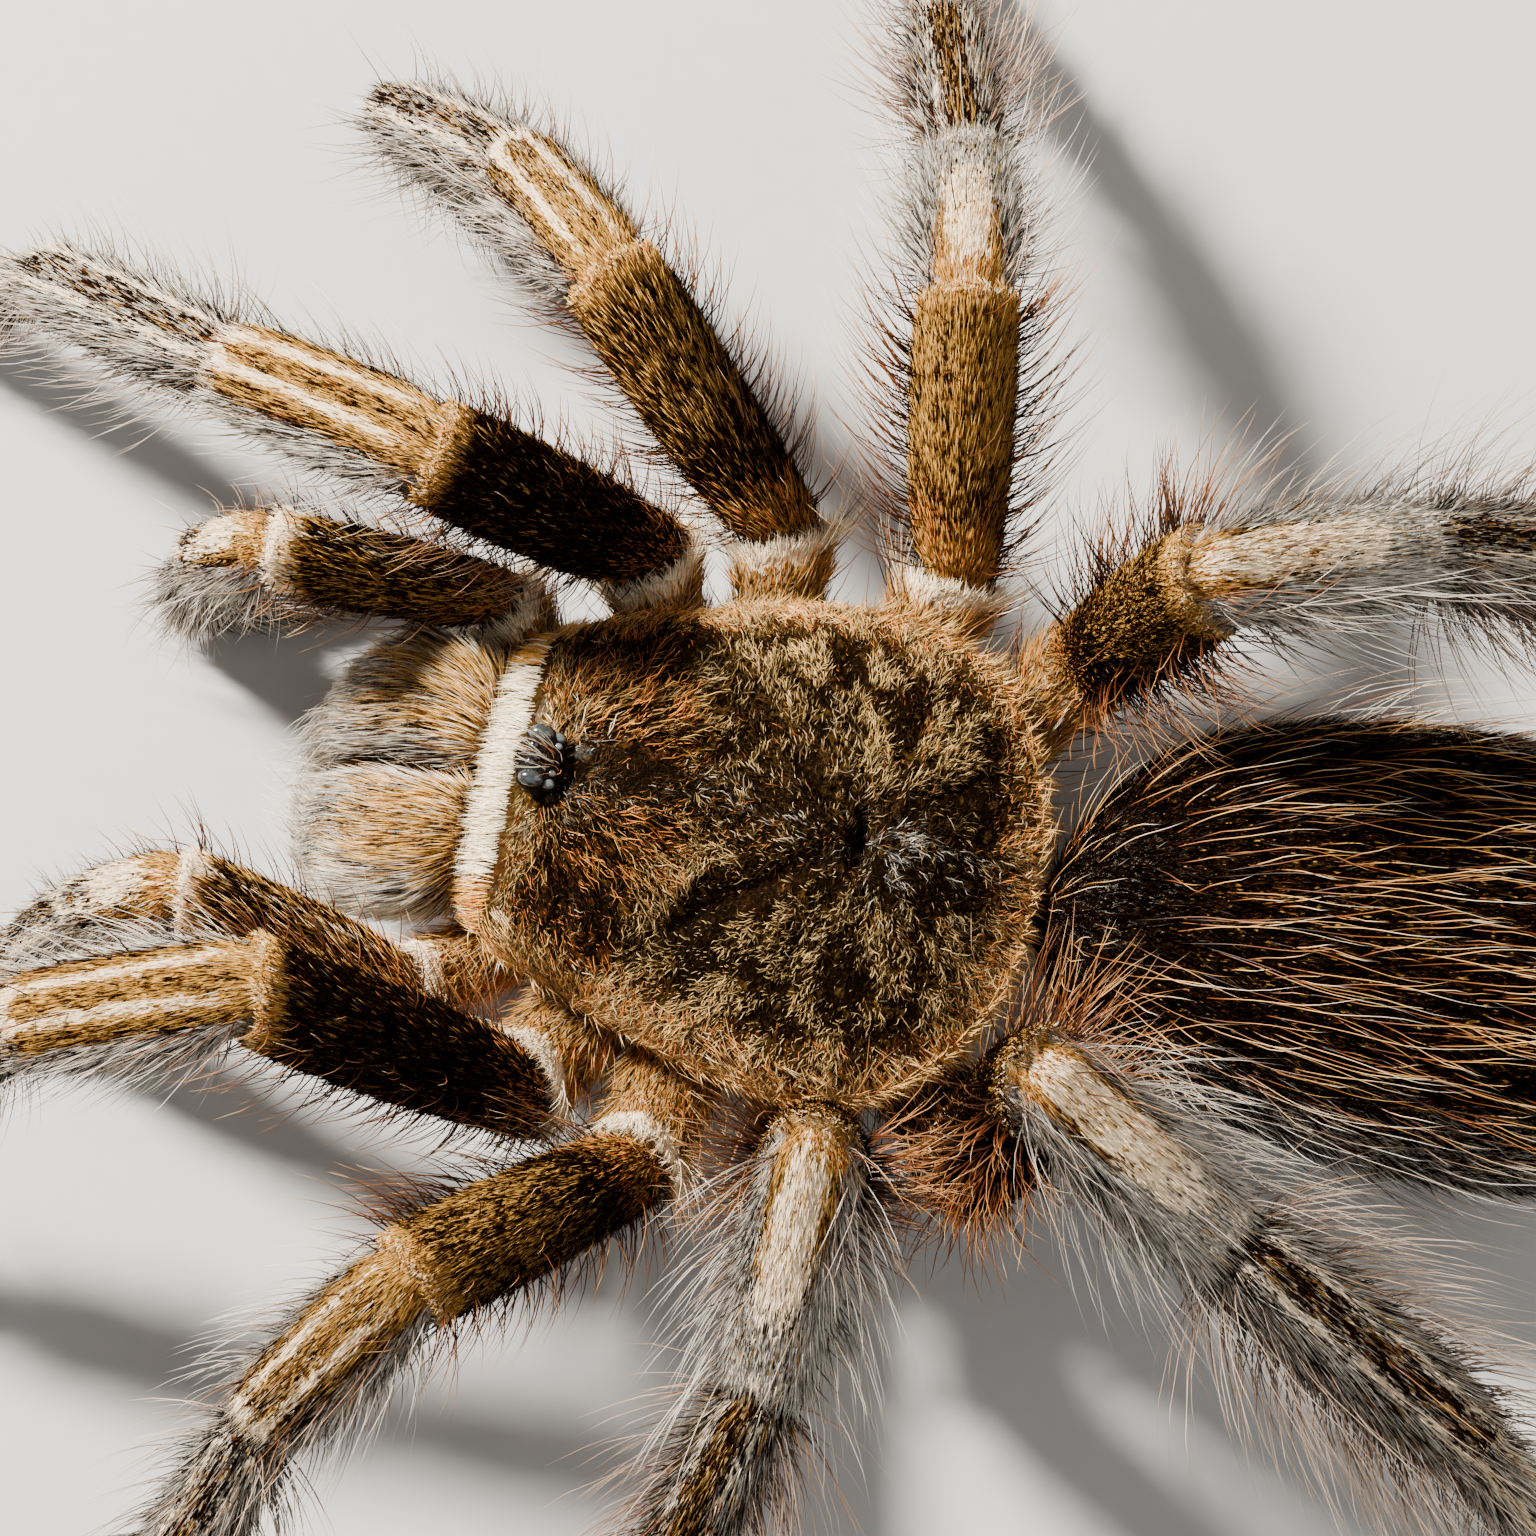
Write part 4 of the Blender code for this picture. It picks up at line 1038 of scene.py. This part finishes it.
shell_data = {
    "marks": np.stack([cream, gold, silver, copper], axis=1),
    "grain": np.stack([across, behind, points[:, 2] / MM], axis=1), "lie": shell_lie,
    "dense": (1 - 0.45 * furrow) * (1 - on_mound), "reach": 0.6 + 0.6 * tuft + 0.25 * rim,
    "stand": np.radians(20 + 18 * tuft)}
attach(shield.data, {key: shell_data[key] for key in ("marks", "grain")})


def shell_material():
    """Dark horn, a little glossy, pitted, with the fleece's colours showing through."""
    bench = Finish("shell", 0.55, specular=0.005)
    grain = bench.carried("grain", "Vector")
    blotch = bench.noise(grain, 1.4, 4.0)
    pits = bench.add("ShaderNodeTexVoronoi", inputs={"Vector": grain, "Scale": 6.0}, output="Distance")
    fate = ((blotch - 0.5) * 2.4 + 0.62).clamped()
    tone = coat_colour(bench, fate, (pits * 0.6).clamped())
    dark = blended(bench, (blotch * 1.5 - 0.2).clamped(), (0.0005, 0.0003, 0.0002, 1), (0.007, 0.0034, 0.001, 1))
    return bench.painted(blended(bench, 0.1, dark, tone), pits + blotch, strength=0.6)


shield.data.materials.clear()
shield.data.materials.append(shell_material())
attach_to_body(shield, "root")
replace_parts(shield, "carapace")
shell_faces = triangles_of(shield.data)


def shell_bed(chosen, **changes):
    """A seedbed from the corners of the shield where chosen holds."""
    return seedbed(points, shell_faces[chosen[shell_faces].all(axis=1)], {**shell_data, **changes})


top = (normals[:, 2] > 0.12) & (behind > 1.0)
OLIVE_GOLD = ((0.020, 0.009, 0.0015, 1), (1.0, 0.67, 0.26, 1))
OLIVE_GROUND = ((0.001, 0.0005, 0.0002, 1), (0.045, 0.024, 0.007, 1))
fleece_hair = hair_material("fleece_hair", root_shade=0.0, tip_shade=1.6, darkest=0.0, gold=OLIVE_GOLD,
                            ground=OLIVE_GROUND)
grow(shell_bed(top), "felt_shield", fleece_hair, "carapace_fur", 85, 0.4, 0.027, Length_spread=0.45, Stray=0.5,
     Rise_spread=0.3, Clumping=2.4, Clump_size=0.3 * MM, Streaks=0.7, Seed=90)
thorax_share = (0.6 + 0.5 * tuft) * (1 - 0.9 * fan) * (1 - 0.7 * corner) * eased(behind, 1.7, 2.3)
grow(shell_bed(top, dense=shell_data["dense"] * thorax_share), "fleece_shield", fleece_hair, "carapace_fur", 30, 0.6,
     0.034, Sections=3, Length_spread=0.4, Stray=0.22, Rise_spread=0.3, Bend_forward=0.1, Bend_down=0.4, Wave=0.12,
     Clumping=3.0, Clump_size=0.42 * MM, Streaks=0.75, Seed=91)
fan_hair = hair_material("fan_hair", root_shade=0.0, tip_shade=1.7, darkest=-0.15,
                         gold=(GOLD_DEEP, (0.98, 0.58, 0.17, 1)))
combed = fan + 0.45 * corner
bed = shell_bed(top & (combed > 0.02), dense=np.clip(combed, 0, 1) * (1 - on_mound) * eased(behind, 1.7, 2.2),
                stand=math.radians(20), reach=0.8 + 0.3 * fan)
grow(bed, "fans_shield", fan_hair, "carapace_fur", 32, 1.2, 0.032, Sections=3, Length_spread=0.4, Stray=0.25,
     Rise_spread=0.3, Bend_forward=0.1, Bend_down=0.3, Wave=0.12, Clumping=1.1, Clump_size=0.45 * MM, Streaks=0.65,
     Seed=94)
BAND_WIDTH = 1.02
band = (behind < BAND_WIDTH) & (points[:, 2] / MM > shield_rim + 0.3)
band_end = eased(np.abs(across), 3.7, 5.0)
band_marks = np.stack([1.6 - 1.35 * band_end, 0.5 + 0.5 * band_end, 0.1 + 0 * across, 0.05 + 0.12 * band_end], axis=1)
bed = shell_bed(band, marks=band_marks, lie=unit([0.0, -1.0, -0.35] + normals * [0, 0, -0.8]), dense=1,
                stand=math.radians(15), reach=1)
grow(bed, "band_shield", band_hair, "carapace_fur", 105, 1.3, 0.03, Sections=2, Length_spread=0.4, Stray=0.14,
     Rise_spread=0.12, Bend_down=0.2, Clumping=0.7, Clump_size=0.5 * MM, Seed=92)
rim_hair = hair_material("rim_hair", root_shade=0.2, tip_shade=1.5, darkest=0.2,
                         gold=((0.09, 0.034, 0.006, 1), (1.0, 0.60, 0.20, 1)))
beside_band = (behind > 1.2) | (behind > 0.1) & (np.abs(across) > 4.9)
edge = (rim_gap < 1.5) & beside_band & (points[:, 2] / MM > shield_rim - 0.4)
rearward = unit(np.stack([across, 0.55 * (behind - PIT_AT + 2) + 8, 0 * across], axis=1))
bed = shell_bed(edge, lie=rearward, dense=eased(rim_gap, 1.5, 0.8) + 0.1, marks=(0.12, 1.1, 0.0, 0.12),
                stand=math.radians(8), reach=1)
grow(bed, "fringe_shield", rim_hair, "carapace_fur", 36, 1.6, 0.032, Sections=2, Stray=0.16, Rise_spread=0.14,
     Bend_down=0.25, Clumping=0.9, Clump_size=0.7 * MM, Streaks=0.85, Seed=93)


# ---- Eyes ---------------------------------------------------------------------------------------
# Eight small domed eyes of glossy black, in two rows of pairs on one low dark mound just behind the
# front edge of the head.

NEAR_BLACK, PEARL = 0.0, 0.7
EYES = ((0.34, 0.3, (0.21, 0.21, 0.21), NEAR_BLACK), (0.93, 0.16, (0.36, 0.5, 0.38), 0.15),
        (0.95, -0.52, (0.22, 0.27, 0.2), 0.5), (0.56, -0.6, (0.14, 0.17, 0.12), PEARL))  # across, ahead, radii, hue
MOUND_SIZE = Vector((1.34, 0.94, 0.82))
mound_at = Vector(((tubercle_low.x + tubercle_high.x) / 2, (tubercle_low.y + tubercle_high.y) / 2,
                   tubercle_low.z)) / MM - Vector((0, 0.12, 0))


def dome(bm, centre, size, segments, rings):
    """A squashed ball, sizes in mm. Its corners are laid down in the same order every time."""
    loops = []
    for ring in range(rings + 1):
        lean = math.pi * ring / rings
        turns = [math.tau * n / segments for n in range(segments if 0 < ring < rings else 1)]
        spots = [Vector((math.sin(lean) * math.cos(t), math.sin(lean) * math.sin(t), math.cos(lean))) for t in turns]
        loops.append([bm.verts.new((Vector(centre) + spot * Vector(size)) * MM) for spot in spots])
    for n in range(segments):
        bm.faces.new((loops[0][0], loops[1][n - 1], loops[1][n]))
        for before, after in zip(loops[1:-2], loops[2:-1]):
            bm.faces.new((before[n - 1], after[n - 1], after[n], before[n]))
        bm.faces.new((loops[-1][0], loops[-2][n], loops[-2][n - 1]))


def piece_of(bm, name, material):
    """The finished piece from a bmesh."""
    for face in bm.faces:
        face.smooth = True
    mesh = bpy.data.meshes.new(name)
    bm.to_mesh(mesh)
    bm.free()
    mesh.materials.append(material)
    made = placed(name, mesh)
    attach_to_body(made, "root")
    return made


def mound_material():
    bench = Finish("eye_mound", 0.5, specular=0.08)
    rough = bench.noise(bench.place(), 4000.0, 4.0)
    tone = blended(bench, rough, (0.001, 0.0008, 0.001, 1), (0.009, 0.006, 0.006, 1))
    return bench.painted(tone, rough, strength=0.8, distance=0.08 * MM)


mound = bmesh.new()
dome(mound, mound_at - Vector((0, 0, 0.25)), MOUND_SIZE * 1.02, 48, 24)
mound_mesh = bpy.data.meshes.new("mound")
mound.to_mesh(mound_mesh)
eyes = bmesh.new()
paleness = eyes.verts.layers.float.new("paleness")
eye_spots = []
for across_middle, ahead, radii, pale in EYES:
    for flank in (-1, 1):
        rise = MOUND_SIZE.z * math.sqrt(1 - (across_middle / MOUND_SIZE.x) ** 2 - (ahead / MOUND_SIZE.y) ** 2)
        at = mound_at + Vector((flank * across_middle, -ahead, rise - 0.25 - 0.1 * radii[2]))
        eye_spots.append((at, max(radii[:2])))
        made_before = len(eyes.verts)
        dome(eyes, at, radii, 28, 16)
        eyes.verts.ensure_lookup_table()
        for corner in eyes.verts[made_before:]:
            corner[paleness] = pale
        # a low dark lip that the eye sits in
        dome(mound, at - Vector((0, 0, 0.34 * radii[2])), (1.24 * radii[0], 1.2 * radii[1], 0.8 * radii[2]), 24, 12)
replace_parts(piece_of(mound, "eye_mound", mound_material()), "eye_tubercle")


def eye_material():
    bench = Finish("eye_gloss", 0.2, specular=0.6)
    bench.shader.inputs["Coat Weight"].default_value = 1.0
    bench.shader.inputs["Coat Roughness"].default_value = 0.1
    haze = bench.noise(bench.place(), 1800.0, 2.0)
    day = blended(bench, haze, (0.001, 0.001, 0.0015, 1), (0.012, 0.012, 0.02, 1))
    night = blended(bench, haze, (0.02, 0.025, 0.025, 1), (0.26, 0.32, 0.29, 1))
    return bench.painted(blended(bench, bench.carried("paleness"), day, night))


piece_of(eyes, "eyes", eye_material())
mound_points, mound_normals = vertices_and_normals(mound_mesh)
mound_faces = triangles_of(mound_mesh)
bpy.data.meshes.remove(mound_mesh)
clear = np.min([np.linalg.norm(mound_points / MM - np.array(at), axis=1) - 1.2 * radius for at, radius in eye_spots],
               axis=0)
mound_data = {"marks": (0.0, 0.06, 0.05, 0.02), "grain": mound_points / MM, "lie": (0.0, -1.0, 0.0), "reach": 1,
              "dense": eased(clear, 0.0, 0.1) * eased(mound_normals[:, 2], 0.1, 0.4), "stand": math.radians(38)}
grow(seedbed(mound_points, mound_faces, mound_data), "down_eyes", short_hair, "carapace_fur", 300, 0.34, 0.017,
     Stray=1.2, Rise_spread=0.4, Seed=95)
between = eased(np.abs(mound_points[:, 0] / MM - mound_at.x), 0.8, 0.5)
mound_data["marks"] = (0.75, 0.4, 0.1, 0.9)
mound_data["dense"] = eased(clear, -0.15, 0.05) * between * eased(mound_normals[:, 2], 0.3, 0.6)
grow(seedbed(mound_points, mound_faces, mound_data), "lashes_eyes", band_hair, "carapace_fur", 23, 2.4, 0.019,
     Sections=6, Length_spread=0.3, Stray=0.35, Rise_spread=0.2, Bend_forward=0.15, Bend_down=0.5, Wave=0.04,
     Clumping=0.1, Seed=96)


# ---- Fangs and claws ----------------------------------------------------------------------------
# The fangs fold back under the jaws: black horn, reddish towards the tip. Each foot ends in two
# small hooked claws between its pads of hair.

FANG_HALF_THICKNESS = 0.7  # mm
FANG_FIRST_TURN, FANG_SWEEP = 215, 95  # degrees of its arc
FANG_STEPS, CLAW_STEPS = 18, 8
CLAW_LENGTH, CLAW_HALF_THICKNESS = 0.62, 0.1  # mm


def tapered_tube(bm, path, radii, sides):
    """A closed tube along a bent path, with points and radii in metres."""
    loops = []
    side = Vector((1, 0, 0))
    for k, (centre, radius) in enumerate(zip(path, radii)):
        way = (path[min(k + 1, len(path) - 1)] - path[max(k - 1, 0)]).normalized()
        side = (side - way * side.dot(way)).normalized()
        up = way.cross(side)
        turns = [math.tau * n / sides for n in range(sides)]
        loops.append([bm.verts.new(centre + radius * (math.cos(t) * side + math.sin(t) * up)) for t in turns])
    for before, after in zip(loops[:-1], loops[1:]):
        for n in range(sides):
            bm.faces.new((before[n - 1], before[n], after[n], after[n - 1]))
    bm.faces.new(loops[0][::-1])
    bm.faces.new(loops[-1])
    bmesh.ops.recalc_face_normals(bm, faces=bm.faces)


def horn_material(name, dark, tip):
    bench = Finish(name, 0.18, specular=0.6)
    lines = bench.noise(bench.place().vector("MULTIPLY", (4000.0, 900.0, 4000.0)), 1.0, 3.0)
    return bench.painted(blended(bench, lines, dark, tip), lines, strength=0.25, distance=0.03 * MM)


def on_arc(angle):
    return Vector((0, math.cos(math.radians(angle)), math.sin(math.radians(angle))))


fangs = bmesh.new()
for flank in ("left", "right"):
    low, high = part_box(f"fang_{flank}")
    outer = high.x if flank == "left" else low.x
    inner = low.x if flank == "left" else high.x
    hinge = Vector((outer + (inner - outer) * 0.38, low.y + 0.45 * MM, high.z - 0.35 * MM))
    arc_radius = (high.y - low.y) * 0.57
    path, radii = [], []
    for step in range(FANG_STEPS + 1):
        t = step / FANG_STEPS
        turn = arc_radius * (on_arc(FANG_FIRST_TURN + FANG_SWEEP * t) - on_arc(FANG_FIRST_TURN))
        path.append(hinge + turn + Vector(((inner - outer) * 0.42 * t, 0, 0)))
        radii.append(FANG_HALF_THICKNESS * MM * (1 - t) ** 0.8 + 0.06 * MM)
    tapered_tube(fangs, path, radii, 16)
fang_horn = horn_material("fang_horn", (0.004, 0.002, 0.002, 1), (0.05, 0.012, 0.006, 1))
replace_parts(piece_of(fangs, "fangs", fang_horn), "fang_left", "fang_right")
claws = bmesh.new()
for limb in LIMBS:
    line = middle_lines[f"{limb}_foot"]
    toe, way = Vector(line[-1]), Vector(unit(line[-1] - line[-2]))
    beside = way.cross(Vector((0, 0, 1))).normalized()
    for flank in (-1, 1):
        path, radii = [], []
        for step in range(CLAW_STEPS + 1):
            t = step / CLAW_STEPS
            path.append(toe + MM * (beside * flank * (0.28 + 0.08 * t) + way * (CLAW_LENGTH * (t - 0.45))
                                    + Vector((0, 0, 0.3 + 0.16 * math.sin(2.4 * t) - 0.34 * t * t))))
            radii.append(CLAW_HALF_THICKNESS * MM * (1 - 0.85 * t))
        tapered_tube(claws, path, radii, 10)
claw_horn = horn_material("claw_horn", (0.006, 0.003, 0.002, 1), (0.06, 0.02, 0.01, 1))
piece_of(claws, "claws", claw_horn)


# ---- Abdomen ------------------------------------------------------------------------------------
# A soft sack under black-brown velvet, with long wavy hairs laid back over it: dark copper at the
# root and pale at the tip, silvery along the sides and over the spinnerets.

velvet_hair = hair_material("velvet_hair", root_shade=0.0, tip_shade=0.9, darkest=0.05,
                            gold=((0.014, 0.007, 0.002, 1), (0.40, 0.25, 0.09, 1)),
                            ground=((0.0001, 0.0001, 0.0001, 1), (0.0025, 0.0013, 0.0006, 1)))
grow(skin_bed(["abdomen", "spinneret_left", "spinneret_right"]), "velvet_abdomen", velvet_hair, "abdomen_fur", 28,
     0.75, 0.034, Stray=0.3, Rise_spread=0.25, Clumping=0.8, Clump_size=0.5 * MM, Streaks=0.6, Seed=101)
long_hair = long_hair_material(
    "long_hair", lambda tip, glow: tip * 0.95 + glow * 0.65 - 0.34, lambda grey, glow: grey * 4.0 - 0.55 + glow * 0.5,
    warm=((0.0, (0.012, 0.004, 0.001, 1)), (0.28, (0.22, 0.06, 0.01, 1)), (0.6, (0.78, 0.40, 0.11, 1)),
          (1.0, (1.0, 0.88, 0.64, 1))),
    pale=((0.0, (0.008, 0.006, 0.005, 1)), (0.4, (0.36, 0.31, 0.26, 1)), (1.0, (1.0, 0.95, 0.87, 1))))
over_top = eased(side_of, 150, 100)
bare_patch = np.exp(-((skin_along - 5.5) / 3.2) ** 2 - (skin_lateral / 3.4) ** 2) * eased(side_of, 90, 60)
long_share = (0.35 + 0.65 * over_top) * eased(skin_along, 0.6, 2.0) * (1 - 0.85 * bare_patch)
bed = skin_bed(["abdomen"], dense=long_share, stand=np.radians(17 + 8 * eased(side_of, 40, 90)),
               reach=0.55 + 0.45 * eased(skin_along, 1.0, 8.0) - 0.35 * eased(skin_far, 8.0, 1.0))
grow(bed, "hair_abdomen", long_hair, "abdomen_fur", 0.56, 7.5, 0.027, Sections=10, Length_spread=0.4, Stray=0.2,
     Rise_spread=0.12, Bend_forward=0.02, Bend_down=0.28, Wave=0.022, Clumping=0.2, Clump_size=3.0 * MM, Seed=102)
in_front = eased(skin_along, 5.0, 2.0)
bed = skin_bed(["abdomen"], dense=long_share + 1.3 * in_front * over_top, reach=1,
               stand=np.radians(28 + 10 * eased(side_of, 40, 90) + 22 * in_front))
grow(bed, "guard_abdomen", long_hair, "abdomen_fur", 0.7, 2.6, 0.034, Sections=5, Length_spread=0.45, Stray=0.25,
     Rise_spread=0.25, Bend_forward=0.1, Bend_down=0.25, Wave=0.03, Clumping=0.4, Clump_size=2.0 * MM, Seed=103)


# ---- Floor and light ----------------------------------------------------------------------------
# A plain pale floor, one broad lamp beyond the head and the animal's right side, and two weaker
# ones opposite it that keep the shadows open.

FLOOR_HALF_SIDE = 1.5  # metres


def floor_material():
    bench = Finish("floor", 0.75, specular=0.2)
    mottle = bench.noise(bench.place(), 900.0, 3.0)
    return bench.painted(blended(bench, mottle, (0.47, 0.46, 0.445, 1), (0.51, 0.50, 0.485, 1)))


floor_mesh = bpy.data.meshes.new("floor")
corners = [Vector((x, y, 0)) * FLOOR_HALF_SIDE for x, y in ((-1, -1), (1, -1), (1, 1), (-1, 1))]
floor_mesh.from_pydata(corners, [], [(0, 1, 2, 3)])
floor_mesh.materials.append(floor_material())
placed("floor", floor_mesh)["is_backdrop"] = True
LAMPS = (("key_light", (-0.15, -0.37, 0.34), 16.0, 0.08, (1.0, 0.955, 0.89)),
         ("fill_light", (0.40, 0.05, 0.35), 1.2, 0.8, (0.93, 0.96, 1.0)),
         ("back_light", (-0.05, 0.45, 0.30), 2.0, 0.7, (1.0, 0.97, 0.93)))  # place, watts, size, colour
for name, place, watts, size, colour in LAMPS:
    lamp = bpy.data.lights.new(name, "AREA")
    lamp.energy, lamp.shape, lamp.size, lamp.color = watts, "DISK", size, colour
    lamp_body = placed(name, lamp)
    lamp_body.location = place
    lamp_body.rotation_euler = (anchor - Vector(place)).to_track_quat("-Z", "Y").to_euler()
world = bpy.data.worlds.new("studio")
world.use_nodes = True
sky = world.node_tree.nodes["Background"].inputs
sky["Color"].default_value, sky["Strength"].default_value = (0.92, 0.95, 1.0, 1), 0.11
bpy.context.scene.world = world

seen_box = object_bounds()
[[list(corner) for corner in box] for box in (cad_box, seen_box)]
